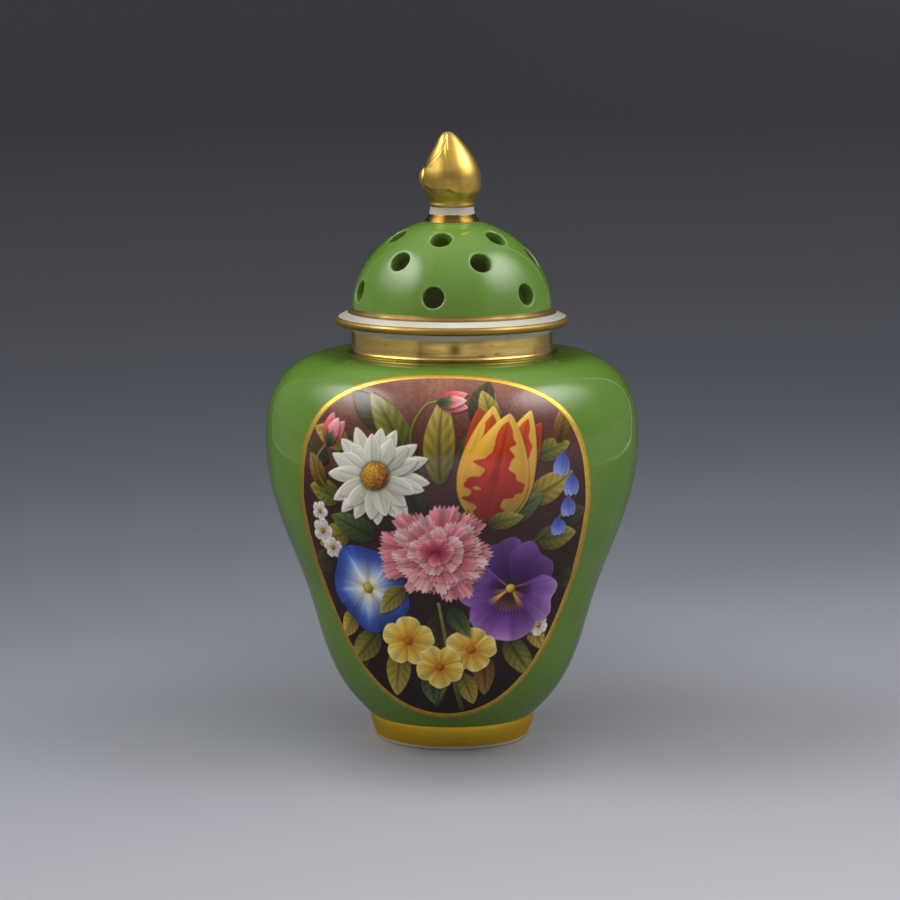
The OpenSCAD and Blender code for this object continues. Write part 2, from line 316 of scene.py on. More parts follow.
def sum_of_smudges(points, smudges):
    """Dark marks on a turned surface: azimuth in degrees, height, half width and half height, strength."""
    azimuth = np.arctan2(points[:, 0], -points[:, 1])
    radius = np.hypot(points[:, 0], points[:, 1])
    total = np.zeros(len(points))
    for turn, level, half_w, half_h, strength in smudges:
        offset = (azimuth - math.radians(turn) + math.pi) % (2 * math.pi) - math.pi
        total += strength * np.exp(-(offset * radius / half_w) ** 2 - ((points[:, 2] - level) / half_h) ** 2)
    return np.clip(total, 0, 1)


def mark(piece, name, values):
    """Gives each point of a piece a number that its material reads."""
    marks = piece.data.attributes.new(name, "FLOAT", "POINT")
    marks.data.foreach_set("value", np.asarray(values, np.float32))
    piece.data.update()


def share_at(curve, column, value):
    """Share of a curve's length at which its radius (0) or height (1) takes a value."""
    lengths = run_lengths(curve)
    order = np.argsort(curve[:, column])
    return np.interp(value, curve[order, column], lengths[order]) / lengths[-1]


# Materials

class Nodes:
    """The few kinds of node that the materials, lamps and world of this scene use."""

    def __init__(self, tree):
        self.tree = tree

    def add(self, kind, **settings):
        node = self.tree.nodes.new(kind)
        for key, value in settings.items():
            setattr(node, key, value)
        return node

    def put(self, socket, value):
        if isinstance(value, bpy.types.NodeSocket):
            self.tree.links.new(value, socket)
        elif isinstance(value, (tuple, list)) and len(value) == 3 and socket.type == "RGBA":
            socket.default_value = (*value, 1)
        else:
            socket.default_value = value

    def split(self, vector):
        node = self.add("ShaderNodeSeparateXYZ")
        self.put(node.inputs["Vector"], vector)
        return node.outputs

    def math(self, operation, *values):
        node = self.add("ShaderNodeMath", operation=operation)
        for socket, value in zip(node.inputs, values):
            self.put(socket, value)
        return node.outputs["Value"]

    def length(self, first, second):
        """Length of a flat vector."""
        squares = [self.math("MULTIPLY", part, part) for part in (first, second)]
        return self.math("POWER", self.math("ADD", *squares), 0.5)

    def map(self, value, low, high, to_low=0.0, to_high=1.0, shape="LINEAR"):
        node = self.add("ShaderNodeMapRange", interpolation_type=shape)
        for key, number in (("From Min", low), ("From Max", high), ("To Min", to_low), ("To Max", to_high)):
            node.inputs[key].default_value = number
        self.put(node.inputs["Value"], value)
        return node.outputs["Result"]

    def ramp(self, value, stops, shape="LINEAR"):
        """A colour for each value, between stops of (place, colour)."""
        node = self.add("ShaderNodeValToRGB")
        node.color_ramp.interpolation = shape
        elements = node.color_ramp.elements
        for place, _ in stops[1:-1]:
            elements.new(place)
        for element, (place, colour) in zip(elements, stops):
            element.position = place
            element.color = (*colour, 1)
        self.put(node.inputs["Fac"], value)
        return node.outputs["Color"]


class Shader(Nodes):
    """A principled material."""

    def __init__(self, name):
        self.material = bpy.data.materials.new(name)
        self.material.use_nodes = True
        super().__init__(self.material.node_tree)
        self.surface = self.tree.nodes["Principled BSDF"]
        self.place = self.add("ShaderNodeTexCoord").outputs["Object"]

    def set(self, **values):
        for key, value in values.items():
            self.put(self.surface.inputs[key.replace("_", " ")], value)

    def noise(self, size, detail=3.0, rough=0.5, stretch=(1, 1, 1)):
        """Noise with features of about this size in millimetres, drawn out along some axes."""
        mapping = self.add("ShaderNodeMapping")
        self.put(mapping.inputs["Vector"], self.place)
        mapping.inputs["Scale"].default_value = stretch
        node = self.add("ShaderNodeTexNoise")
        self.put(node.inputs["Vector"], mapping.outputs["Vector"])
        node.inputs["Scale"].default_value = 1 / (size * MM)
        node.inputs["Detail"].default_value = detail
        node.inputs["Roughness"].default_value = rough
        return node.outputs["Fac"]

    def spots(self, size):
        """Distance to scattered points about this many millimetres apart."""
        node = self.add("ShaderNodeTexVoronoi")
        self.put(node.inputs["Vector"], self.place)
        node.inputs["Scale"].default_value = 1 / (size * MM)
        return node.outputs["Distance"]

    def attribute(self, name):
        return self.add("ShaderNodeAttribute", attribute_name=name).outputs

    def mix(self, factor, first, second):
        node = self.add("ShaderNodeMix", data_type="RGBA")
        self.put(node.inputs["Factor"], factor)
        self.put(node.inputs[6], first)
        self.put(node.inputs[7], second)
        return node.outputs[2]

    def bump(self, height, depth, strength=1.0):
        """Small relief, with its depth in millimetres."""
        node = self.add("ShaderNodeBump")
        node.inputs["Strength"].default_value = strength
        node.inputs["Distance"].default_value = depth * MM
        self.put(node.inputs["Height"], height)
        self.put(self.surface.inputs["Normal"], node.outputs["Normal"])


GLAZE_SHINE = 0.48


def make_green():
    shader = Shader("green_glaze")
    clouds = shader.map(shader.noise(14, 4), 0.35, 0.68)
    cloudy = shader.mix(clouds, (0.112, 0.220, 0.026), (0.133, 0.253, 0.037))
    specks = shader.map(shader.noise(0.9, 2), 0.62, 0.78, 0, 0.35)
    speckled = shader.mix(specks, cloudy, (0.170, 0.295, 0.055))
    dusty = shader.mix(shader.map(shader.spots(3.2), 0.0, 0.06, 0.45, 0.0), speckled, (0.040, 0.075, 0.010))
    # Painted shade round the foot of the neck, under the flange: darker green and less sheen there
    neck_shade = shader.attribute("neck_shade")["Fac"]
    neck_shaded = shader.mix(shader.map(neck_shade, 0.0, 1.0, 0, 0.82), dusty, (0.030, 0.055, 0.004))
    # Paler green at the vents' rims: thinner glaze on the edges, and partly a painted highlight
    rim = shader.attribute("edge")["Fac"]
    edged = shader.mix(shader.map(rim, 0.3, 1.0, 0, 0.28), neck_shaded, (0.330, 0.450, 0.190))
    shader.set(Base_Color=edged, Specular_IOR_Level=shader.map(neck_shade, 0.0, 1.0, GLAZE_SHINE, 0.1),
               Roughness=shader.map(shader.noise(9, 3), 0.3, 0.7, 0.01, 0.03))
    shader.bump(shader.noise(3.2, 2), 0.006)
    return shader.material


def make_white(name, low, high):
    shader = Shader(name)
    milky = shader.mix(shader.map(shader.noise(11, 3), 0.35, 0.7), low, high)
    specked = shader.mix(shader.map(shader.spots(4.0), 0.0, 0.05, 0.6, 0.0), milky, (0.210, 0.160, 0.090))
    shader.set(Base_Color=specked, Roughness=shader.map(shader.noise(6, 3), 0.3, 0.7, 0.12, 0.22))
    shader.bump(shader.noise(2.0, 2), 0.010)
    return shader.material


def make_inner():
    shader = Shader("cover_inside")
    # Painted light: the cover's inside is coloured a bright yellowish brown, for the light that comes in
    # through the vents
    blotches = shader.map(shader.noise(7, 5), 0.3, 0.7)
    painted_inner_light = shader.mix(blotches, (0.860, 0.720, 0.380), (0.920, 0.830, 0.560))
    shader.set(Base_Color=painted_inner_light, Roughness=shader.map(shader.noise(3, 3), 0.3, 0.7, 0.35, 0.55))
    return shader.material


def make_gold(name, deep, bright, grain, wear, rough):
    """Burnished gilding. Grain is the length of the burnisher's marks round the axis and their height, in
    millimetres, wear is a share of loss, and rough is the roughness where it is well rubbed."""
    shader = Shader(name)
    length, height = grain
    rubbed = shader.noise(height, 4, 0.55, (height / length, height / length, 1))
    tone = shader.mix(shader.map(rubbed, 0.32, 0.70), deep, bright)
    cloudy = shader.mix(shader.map(shader.noise(5, 4), 0.42, 0.75, 0.0, 0.6), tone, deep)
    losses = shader.map(shader.noise(2.2, 5, 0.6), 0.60, 0.74, 0.0, wear)
    worn = shader.mix(losses, cloudy, (0.230, 0.150, 0.075))
    spotted = shader.mix(shader.map(shader.spots(2.6), 0.0, 0.06, 0.7, 0.0), worn, (0.090, 0.050, 0.020))
    # Dark smudges on the gilding, and painted shade in the hollows between the bud's petals
    dark = shader.attribute("smudges_and_crease_shade")["Fac"]
    creased = shader.mix(shader.map(dark, 0.0, 1.0, 0.0, 0.95), spotted, (0.110, 0.070, 0.015))
    shader.set(Base_Color=creased, Metallic=1.0, Roughness=shader.map(rubbed, 0.3, 0.7, 1.5 * rough, rough))
    shader.bump(rubbed, 0.012)
    return shader.material


def make_enamel():
    shader = Shader("painted_enamel")
    shader.set(Base_Color=shader.attribute("paint")["Color"], Specular_IOR_Level=GLAZE_SHINE,
               Roughness=shader.map(shader.noise(4, 3), 0.3, 0.7, 0.08, 0.12))
    shader.bump(shader.noise(0.7, 3), 0.010)
    return shader.material


green = make_green()
white = make_white("white_porcelain", (0.570, 0.545, 0.475), (0.645, 0.630, 0.575))
# The same porcelain white made darker and warmer for the foot rim and the stem: painted shade on these parts
shaded_white = make_white("white_porcelain_shaded", (0.440, 0.400, 0.330), (0.520, 0.480, 0.410))
inner = make_inner()
gold_neck = make_gold("gilding_neck", (0.740, 0.490, 0.125), (0.900, 0.660, 0.215), (11, 1.1), 0.40, 0.19)
gold_edge = make_gold("gilding_edge", (0.340, 0.205, 0.042), (0.460, 0.310, 0.090), (9, 0.9), 0.30, 0.36)
gold_foot = make_gold("gilding_foot", (0.940, 0.560, 0.038), (1.0, 0.700, 0.080), (14, 1.2), 0.10, 0.42)
gold_line = make_gold("gilding_lines", (0.200, 0.125, 0.036), (0.340, 0.230, 0.075), (5, 0.8), 0.70, 0.36)
# The stem's gilding is coloured very dark: besides its wear, a painted shade and a painted dark reflection of
# the dome around it
gold_stem_shaded = make_gold("gilding_stem_shaded", (0.120, 0.065, 0.010), (0.210, 0.130, 0.026), (5, 0.8), 0.60, 0.20)
gold_border = make_gold("gilding_border", (0.800, 0.500, 0.065), (1.0, 0.700, 0.150), (1.8, 1.1), 0.3, 0.32)
gold_bud = make_gold("gilding_bud", (0.520, 0.320, 0.055), (0.740, 0.510, 0.140), (2.6, 2.6), 0.55, 0.28)
enamel = make_enamel()


# The vase

# Where the ring of painted shade round the foot of the neck starts to fade, how far it reaches on, and its
# strength at the sides and behind
neck_shade_start = 3.0
neck_shade_width = 7.0
neck_shade_behind = 0.45


def make_body():
    inside = body_curve - body_wall * normals_of(body_curve)
    inside = inside[inside[:, 1] > floor_z]
    profile = np.concatenate([
        [(0, foot_h)], body_curve,
        [(mouth_r, shoulder_z), (mouth_r, shoulder_z - body_wall)],
        inside[::-1], [(inside[0][0], floor_z), (0, floor_z)]])
    points, faces, spans = turned(profile)
    glazed = (spans >= 1) & (spans < len(body_curve))
    piece = add_piece("body", points, faces, [green, white], "vase", ["vase_body"],
                      np.where(glazed, 0, 1))
    # Painted shade round the foot of the neck, darkest at the front and weaker at the sides and behind
    radius = np.hypot(points[:, 0], points[:, 1])
    forward = np.clip(-points[:, 1] / np.maximum(radius, 1), 0, 1)
    neck_shade = (1 - ease((radius - neck_foot_r - neck_shade_start) / neck_shade_width)) * (points[:, 2] > belly_z)
    mark(piece, "neck_shade", neck_shade * (neck_shade_behind + (1 - neck_shade_behind) * forward))


def make_foot():
    profile = np.concatenate([[(foot_inner_r, foot_edge), (foot_inner_r + foot_edge, 0),
                               (foot_base_r - foot_edge, 0), (foot_base_r - 0.12, 0.12)],
                              foot_curve, [(foot_inner_r, foot_h)]])
    add_turned("foot", profile, shaded_white, "vase", "foot_ring")
    gilt_band("foot_gilding", foot_curve, share_at(foot_curve, 1, foot_gilt_low), 1, (0.05, 0),
              gold_foot, "vase", ["foot_gilt_band"], 11)


# Azimuth in degrees, height, half width, half height and strength of the dark marks on the neck
NECK_SMUDGES = (
    (1.5, shoulder_z + 3.0, 1.8, 1.7, 1.0), (-18, shoulder_z + 2.8, 0.8, 2.2, 0.45),
    (-15, shoulder_z + 1.9, 2.6, 0.4, 0.45), (17, shoulder_z + 1.4, 0.7, 0.3, 0.8),
    (26, shoulder_z + 1.7, 0.8, 0.35, 0.7), (13, shoulder_z + 3.6, 1.6, 0.3, 0.3),
    (-40, shoulder_z + 3.4, 0.5, 0.3, 0.5), (150, shoulder_z + 2.4, 1.4, 0.6, 0.5),
    (215, shoulder_z + 3.0, 0.9, 1.2, 0.4),
)


def make_neck():
    rim = [(neck_r - neck_edge * (1 - math.cos(a)), seat_z - neck_edge * (1 - math.sin(a)))
           for a in np.linspace(0, math.pi / 2, 6)[1:]]
    bead = [(mouth_r + neck_edge * (1 - math.sin(a)), seat_z - neck_edge * (1 - math.cos(a)))
            for a in np.linspace(0, math.pi / 2, 6)]
    profile = np.concatenate([[(mouth_r, shoulder_z)], neck_curve, rim, bead])
    add_turned("neck", profile, white, "vase", "neck_collar")
    gilt_band("neck_gilding", neck_curve, 0, share_at(neck_curve, 1, neck_gilt_top), (0, 0.10),
              gold_neck, "vase", ["neck_gilt_band"], 21, NECK_SMUDGES)


# The cover

def make_flange():
    profile = np.concatenate([[(ring_bore_r, seat_z)], flange_curve,
                              [(dome_foot_r, dome_z), (dome_inner_r, dome_z)]])
    add_turned("flange", profile, white, "cover", "cover_flange")
    gilt_band("flange_gilding", flange_curve, 0.02, 0.99, (0, 0.08), gold_edge,
              "cover", ["flange_gilt_edge"], 41)


def make_ring():
    """The ring under the flange, with a hair's gap to the flange that turns on it."""
    soft = 0.4
    turning_gap = 0.05
    ring_top_z = seat_z - turning_gap
    profile = [(ring_bore_r, ring_low_z + soft), (ring_bore_r + soft, ring_low_z),
               (ring_r - soft, ring_low_z), (ring_r - 0.12, ring_low_z + 0.12), (ring_r, ring_low_z + soft),
               (ring_r, ring_top_z), (ring_bore_r, ring_top_z)]
    add_turned("locating_ring_turned", profile, white, "cover_seat", "locating_ring")


class Shell:
    """One face of the dome: a turned quarter of an ellipse, with a flat map for laying out triangles."""

    def __init__(self, radius, rise):
        self.radius, self.rise = radius, rise
        self.ups = np.linspace(math.pi / 2, 0, 400)
        across = np.stack([radius * np.cos(self.ups), rise * np.sin(self.ups)], axis=1)
        self.lengths = run_lengths(across)

    def point(self, up, azimuth):
        return around(azimuth, self.radius * np.cos(up), dome_z + self.rise * np.sin(up))

    def meet(self, origins, axis):
        """Where lines along the axis leave this face."""
        scale = np.array([self.radius, self.radius, self.rise])
        start = (origins - (0, 0, dome_z)) / scale
        run = axis / scale
        a = run @ run
        b = start @ run
        c = np.sum(start * start, axis=-1) - 1
        t = (-b + np.sqrt(b * b - a * c)) / a
        return origins + t[:, None] * axis

    def flat(self, points):
        up = np.arcsin(np.clip((points[:, 2] - dome_z) / self.rise, 0, 1))
        out = np.interp(-up, -self.ups, self.lengths)
        turn = np.arctan2(points[:, 1], points[:, 0])
        return np.stack([out * np.cos(turn), out * np.sin(turn)], axis=1)


vent_r = 2.6
vent_soft = 0.45
vent_sides = 40
vent_count = 6

# Rows of vents: place up the curve and turn from the front, in degrees
VENT_ROWS = ((14.5, -11.0), (36.5, 20.5), (55.0, -11.0))


def vents():
    """Centre and outward axis of each vent hole."""
    found = []
    for up, turn in np.radians(VENT_ROWS):
        radius, height = dome_point(up)
        tilt = math.atan2(math.sin(up) / dome_rise, math.cos(up) / dome_r)
        for i in range(vent_count):
            azimuth = turn + 2 * math.pi * i / vent_count
            centre = around(azimuth, radius, height)
            axis = around(azimuth, math.cos(tilt), math.sin(tilt))
            found.append((centre, axis))
    return found


def vent_ring(shell, centre, axis, radius, depth=0.0):
    side = np.cross(axis, (0, 0, 1))
    side /= np.linalg.norm(side)
    up = np.cross(side, axis)
    angle = whole_turn(vent_sides)[:, None]
    around_axis = centre + radius * (np.cos(angle) * side + np.sin(angle) * up)
    return shell.meet(around_axis, axis) - depth * axis


def from_vent(points, centre, axis):
    """How far points lie along a vent's axis, and how far aside of it."""
    offset = points - centre
    along = offset @ axis
    return along, np.linalg.norm(offset - along[:, None] * axis, axis=1)


def fill_points(shell, low_up, high_up, step, clear):
    """Staggered rings of points over a shell, kept clear of the vents."""
    span = np.interp(-low_up, -shell.ups, shell.lengths) - np.interp(-high_up, -shell.ups, shell.lengths)
    rows = int(span / step)
    kept = []
    for i in range(1, rows):
        up = low_up + (high_up - low_up) * i / rows
        count = max(6, int(2 * math.pi * shell.radius * math.cos(up) / step))
        azimuth = (np.arange(count) + 0.5 * (i % 2)) * 2 * math.pi / count
        points = shell.point(up, azimuth)
        free = np.ones(count, bool)
        for centre, axis in vents():
            along, aside = from_vent(points, centre, axis)
            free &= (aside > clear) | (np.abs(along) > 2 * cover_wall)
        kept.append(points[free])
    return np.concatenate(kept)


def skin(shell, loops, loose):
    """Triangles over a shell between closed loops of points. Returns the points and the triangles."""
    points = np.concatenate(loops + [loose])
    owner = np.full(len(points), -1)
    edges, start = [], 0
    for number, loop in enumerate(loops):
        owner[start:start + len(loop)] = number
        edges += [(start + j, start + (j + 1) % len(loop)) for j in range(len(loop))]
        start += len(loop)
    flat = [Vector(p) for p in shell.flat(points)]
    _, _, triangles, sources, _, _ = delaunay_2d_cdt(flat, edges, [], 0, 1e-7)
    faces = []
    for triangle in triangles:
        corners = tuple(sources[i][0] for i in triangle)
        owners = {owner[i] for i in corners}
        inside_loop = len(owners) == 1 and owners.pop() >= 1
        if not inside_loop:
            faces.append(corners)
    return points, faces


def edge_weight(points):
    """How near a point of the dome is to the rim of a vent, from 0 to 1."""
    weight = np.zeros(len(points))
    for centre, axis in vents():
        along, aside = from_vent(points, centre, axis)
        near = np.exp(-((aside - vent_r - 0.25) / 0.38) ** 2) * (np.abs(along) < 1.0)
        weight = np.maximum(weight, near)
    return weight


class Patchwork:
    """Points, faces and the number of each face's material, gathered patch by patch."""

    def __init__(self):
        self.rows, self.count = [], 0
        self.faces, self.materials = [], []

    def add_points(self, *rows):
        """Adds rows of points and returns the index of the first point."""
        first = self.count
        self.rows += rows
        self.count += sum(len(row) for row in rows)
        return first

    def add_faces(self, faces, material=0):
        self.faces += faces
        self.materials += [material] * len(faces)


def add_vent_walls(work, shell, outer_rings, under_rings):
    """Rounded rims and walls of the vents, between rings on the outside and rings on the inside."""
    for number, (centre, axis) in enumerate(vents()):
        above = outer_rings + number * vent_sides
        for bend in np.linspace(0, math.pi / 2, 7)[1:]:
            radius = vent_r + vent_soft * (1 - math.sin(bend))
            ring = work.add_points(vent_ring(shell, centre, axis, radius, vent_soft * (1 - math.cos(bend))))
            work.add_faces(loop_faces(ring, above, vent_sides))
            above = ring
        work.add_faces(loop_faces(under_rings + number * vent_sides, above, vent_sides))


def add_flare(work, azimuth):
    """The flare, from the flange up to the dome's lowest ring, whose points come first."""
    rows = [around(azimuth, r, z) for r, z in dome_flare_curve[:-1]]
    first = work.add_points(*rows)
    for i in range(len(rows)):
        above = first + (i + 1) * TURNS if i + 1 < len(rows) else 0
        work.add_faces(loop_faces(first + i * TURNS, above, TURNS))
    return first


def make_dome():
    outer, inside = Shell(dome_r, dome_rise), Shell(dome_inner_r, dome_inner_rise)
    azimuth, crown = whole_turn(TURNS), whole_turn(TURNS // 2)
    work = Patchwork()

    rim_r = vent_r + vent_soft
    loops = [outer.point(flare_up, azimuth), outer.point(dome_end_up, crown)]
    loops += [vent_ring(outer, centre, axis, rim_r) for centre, axis in vents()]
    points, faces = skin(outer, loops, fill_points(outer, flare_up, dome_end_up, 0.8, rim_r + 0.35))
    work.add_points(points)
    work.add_faces(faces)
    flare = add_flare(work, azimuth)

    # The flat under the stem
    top = work.add_points(np.array([[0, 0, stem_z]]))
    work.add_faces([(TURNS + j, TURNS + (j + 1) % len(crown), top) for j in range(len(crown))])

    # The inside, and the flat ring that rests on the flange
    loops = [inside.point(0.0, azimuth)]
    loops += [vent_ring(inside, centre, axis, vent_r) for centre, axis in vents()]
    points, faces = skin(inside, loops, fill_points(inside, 0.0, math.radians(89), 1.5, vent_r + 0.6))
    under = work.add_points(points)
    work.add_faces([tuple(under + i for i in reversed(face)) for face in faces], 1)
    work.add_faces(loop_faces(under, flare, TURNS), 1)

    add_vent_walls(work, outer, TURNS + len(crown), under + TURNS)
    points = np.concatenate(work.rows)
    piece = add_piece("dome", points, work.faces, [green, inner], "cover", ["cover_dome"],
                      work.materials)
    mark(piece, "edge", edge_weight(points))
    gilt_band("dome_line", dome_flare_curve, 0, 0.97, (0, 0.05), gold_line, "cover", ["dome_gilt_line"], 51)


def make_stem():
    profile = np.concatenate([[(0, stem_z)], stem_curve, [(0, bud_z)]])
    add_turned("stem", profile, shaded_white, "cover", "finial_stem", TURNS // 2)
    gilt_band("stem_gilding", stem_curve, 0, share_at(stem_curve, 1, stem_gilt_top), (0, 0.08),
              gold_stem_shaded, "cover", ["stem_gilt_band"], 61)


# The bud: overlapping petals round a core

bud_r = 7.5
bud_belly = 7.0 / 18.2
bud_tip_r = 0.7
bud_lean = 1.0
bud_sides = 240
bud_rows = 200
core_depth = 1.0
petal_lip = 0.35
petal_hem_mm = 1.0
petal_rim_mm = 1.6
crease_mm = 0.40

# Each petal: heights as shares, azimuth of its left and of its right edge there, height of its lower edge,
# width of its left and right edge in millimetres, lift off the core as a share, how far it bulges out, and
# how far its left edge curls up
BUD_PETALS = (
    ((0, 0.5, 0.8, 1), (150, 152, 164, 178), (255, 250, 232, 215), 0.20, (0.6, 0.6), 0.75, 0.0, 0.2),
    ((0, 0.5, 0.8, 1), (20, 20, 20, 20), (178, 174, 158, 140), 0.16, (0.6, 0.6), 0.80, 0.0, 0.0),
    ((0, 0.5, 0.8, 1), (-150, -145, -132, -120), (-20, -20, -20, -20), 0.40, (0.6, 0.6), 0.35, 0.0, 0.0),
    ((0, 0.30, 0.45, 0.56), (-135, -130, -118, -100), (-55, -62, -72, -86), 0.15, (0.6, 0.6), 0.5, 1.15, 0.0),
    ((0, 0.5, 0.8, 1), (-10, -10, -14, -20), (96, 90, 70, 52), 0.13, (0.6, 0.8), 0.80, 0.0, 0.0),
    ((0, 0.25, 0.35, 0.53, 0.64, 0.72, 0.85, 0.93, 1), (-66, -70, -72, -64, -46, -36, -31, -29, -28),
     (9, 10, 11, 10, 9, 7, 5, 2, 0), 0.19, (0.8, 2.4), 0.92, 0.0, 0.8),
)


def bud_profile():
    belly = bud_h * bud_belly
    cone = bud_h - belly
    lower = bezier((stem_top_r, 0), (stem_top_r, belly * 0.35), (bud_r, belly * 0.45), (bud_r, belly))
    upper = bezier((bud_r, belly), (bud_r, belly + cone * 0.4), (bud_r * 0.25, bud_h), (bud_tip_r, bud_h))
    return joined(lower, upper)


def bud_lift(azimuth, share, radius):
    """How far the outermost petal stands off the core, as a share of the core's depth."""
    best = np.zeros_like(azimuth)
    for heights, left, right, hem, edges, lift, lobe, curl in BUD_PETALS:
        low = np.radians(np.interp(share, heights, left))
        high = np.radians(np.interp(share, heights, right))
        middle, reach = (low + high) / 2, (high - low) / 2
        offset = (azimuth - middle + math.pi) % (2 * math.pi) - math.pi
        aside = np.clip(offset / reach, -1, 1)
        scale = np.maximum(radius, 1.5)
        cover = ease((reach + offset) * scale / edges[0]) * ease((reach - offset) * scale / edges[1])
        cover = cover * ease((share - hem - 0.09 * aside ** 2) * bud_h / petal_hem_mm)
        if heights[-1] < 1:
            cover = cover * ease((heights[-1] - share) * bud_h / petal_hem_mm)
        crown = 1 - 0.06 * aside ** 2
        up = np.clip((share - hem) / (heights[-1] - hem), 0, 1)
        bulge = lobe * np.cos(aside * math.pi / 2) * np.sin(math.pi * up)
        rim = curl * np.exp(-(reach + offset) * scale / petal_rim_mm)
        stand = lift + (0.8 - lift) * ease((share - 0.8) / 0.18)
        best = np.maximum(best, cover * (stand * crown + bulge + rim))
    return best


def softened(field, passes):
    """A field round the bud, blurred along and across its rows."""
    for _ in range(passes):
        across = (np.roll(field, 1, axis=1) + field + np.roll(field, -1, axis=1)) / 3
        padded = np.concatenate([across[:1], across, across[-1:]])
        field = (padded[:-2] + padded[1:-1] + padded[2:]) / 3
    return field


def bud_out(azimuth, share, radius):
    """Distance of the bud's surface from its axis."""
    core = core_depth * ease((radius - 0.4) / 4.5) * ease((share - 0.15) / 0.25)
    lift = bud_lift(azimuth, share, radius)
    lip = petal_lip * np.clip(lift, 0, 1) * (1 - ease((share - 0.15) / 0.2))
    bead = 0.25 * np.exp(-((share * bud_h - 0.5) / 0.4) ** 2)
    return softened(radius - core * (1 - lift) + lip + bead, 2)


def make_bud():
    curve = bud_profile()
    lengths = run_lengths(curve)
    at = np.linspace(0, lengths[-1], bud_rows)
    radius = np.interp(at, lengths, curve[:, 0])[:, None]
    height = np.interp(at, lengths, curve[:, 1])[:, None]
    azimuth, share, radius = np.broadcast_arrays(whole_turn(bud_sides)[None, :], height / bud_h, radius)
    out = bud_out(azimuth, share, radius)
    # Painted shade: the gilding is darkened where the bud's surface is hollow, between its petals
    crease = np.clip((softened(out, 30) - out) / crease_mm, 0, 1) * ease((radius - 1.5) / 1.5)
    points = around(azimuth, out, bud_z + share * bud_h)
    points[..., 0] -= bud_lean * share ** 2
    rows = points.reshape(-1, 3)
    ends = np.array([[0, 0, bud_z], [-bud_lean, 0, bud_z + bud_h]])
    faces = []
    for i in range(bud_rows - 1):
        faces += loop_faces(i * bud_sides, (i + 1) * bud_sides, bud_sides)
    base, tip = len(rows), len(rows) + 1
    last = (bud_rows - 1) * bud_sides
    for j in range(bud_sides):
        n = (j + 1) % bud_sides
        faces.append((base, n, j))
        faces.append((tip, last + j, last + n))
    piece = add_piece("bud", np.concatenate([rows, ends]), faces, [gold_bud],
                      "cover", ["bud_finial"])
    mark(piece, "smudges_and_crease_shade", np.concatenate([crease.ravel(), [0, 0]]))


# The front panel: its outline seen from the front, laid on the body

panel_turn = math.radians(-3.5)
panel_half_w = belly_r - 10.9
panel_top = shoulder_z - 1.4
panel_base = foot_h + 3.2
panel_mid = foot_h + 58.4
panel_base_reach = 0.8
panel_side_fall = 0.08
panel_side_rise = 0.58
panel_top_reach = 0.88
border_side, border_top, border_base = 1.4, 0.95, 1.5
border_lift = 0.2
wall_heights = body_curve[:, 1]
wall_lengths = run_lengths(body_curve)
wall_normals = normals_of(body_curve)


def wall_radius(z):
    return np.interp(z, wall_heights, body_curve[:, 0])


def wall_length(z):
    return np.interp(z, wall_heights, wall_lengths)


def wall_height(length):
    return np.interp(length, wall_lengths, wall_heights)


def on_wall(x, z, lift):
    """A point seen from the front at x and z, laid on the body and lifted off it, turned with the panel."""
    radius = wall_radius(z)
    azimuth = np.arcsin(np.clip(x / radius, -1, 1)) + panel_turn
    out = radius + lift * np.interp(z, wall_heights, wall_normals[:, 0])
    level = z + lift * np.interp(z, wall_heights, wall_normals[:, 1])
    return around(azimuth, out, level)


def panel_half(inset, steps=CURVE_STEPS):
    """Right half of the outline, from the bottom to the top, set in by a share of the border's width."""
    w = panel_half_w - border_side * inset
    top = panel_top - border_top * inset
    base = panel_base + border_base * inset
    widest = (w, panel_mid)
    below = (w, panel_mid - panel_side_fall * (panel_mid - base))
    above = (w, panel_mid + panel_side_rise * (top - panel_mid))
    lower = bezier((0, base), (panel_base_reach * w, base), below, widest, steps)
    upper = bezier(widest, above, (panel_top_reach * w, top), (0, top), steps)
    return joined(lower, upper)


def panel_loop(inset):
    half = panel_half(inset, 120)
    return np.concatenate([half, half[-2:0:-1] * (-1, 1)])


def make_border():
    inner_loop, outer_loop = panel_loop(1.0), panel_loop(0.0)
    count = len(outer_loop)
    turn = whole_turn(count)
    inner_edge, outer_edge = 1 + wobble(turn, 0.07, 71), wobble(turn, 0.05, 72)
    across = np.linspace(0, 1, 13)
    lift = border_lift * (1 - np.abs(2 * across - 1) ** 3.0)
    across = np.concatenate([[0], across, [1]])
    lift = np.concatenate([[-LAYER_ROOT], lift, [-LAYER_ROOT]])
    rows = []
    for share, height in zip(across, lift):
        at = (outer_edge + (inner_edge - outer_edge) * share)[:, None]
        seen = outer_loop + (inner_loop - outer_loop) * at
        rows.append(on_wall(seen[:, 0], seen[:, 1], height))
    add_piece("panel_border", np.concatenate(rows), tube_faces(len(rows), count), [gold_border],
              "vase", ["panel_gilt_border"])


# Painting: a canvas in millimetres, X round the body and Y up along its wall

PAINT_STEP = 0.12
LIGHT_FROM = (-0.6, 0.8)


def smooth_noise(x, y, seed):
    grid = np.random.default_rng(seed).uniform(-1, 1, (64, 64))
    x0, y0 = np.floor(x).astype(int), np.floor(y).astype(int)
    fx, fy = ease(x - x0), ease(y - y0)
    low = grid[y0 % 64, x0 % 64] * (1 - fx) + grid[y0 % 64, (x0 + 1) % 64] * fx
    high = grid[(y0 + 1) % 64, x0 % 64] * (1 - fx) + grid[(y0 + 1) % 64, (x0 + 1) % 64] * fx
    return low * (1 - fy) + high * fy


def tint(colours, share):
    """A blend along a list of colours, given as 0 to 255, at shares from 0 to 1."""
    stops = np.linspace(0, 1, len(colours))
    table = np.array(colours, float) / 255
    return np.stack([np.interp(share, stops, table[:, i]) for i in range(3)], axis=-1)


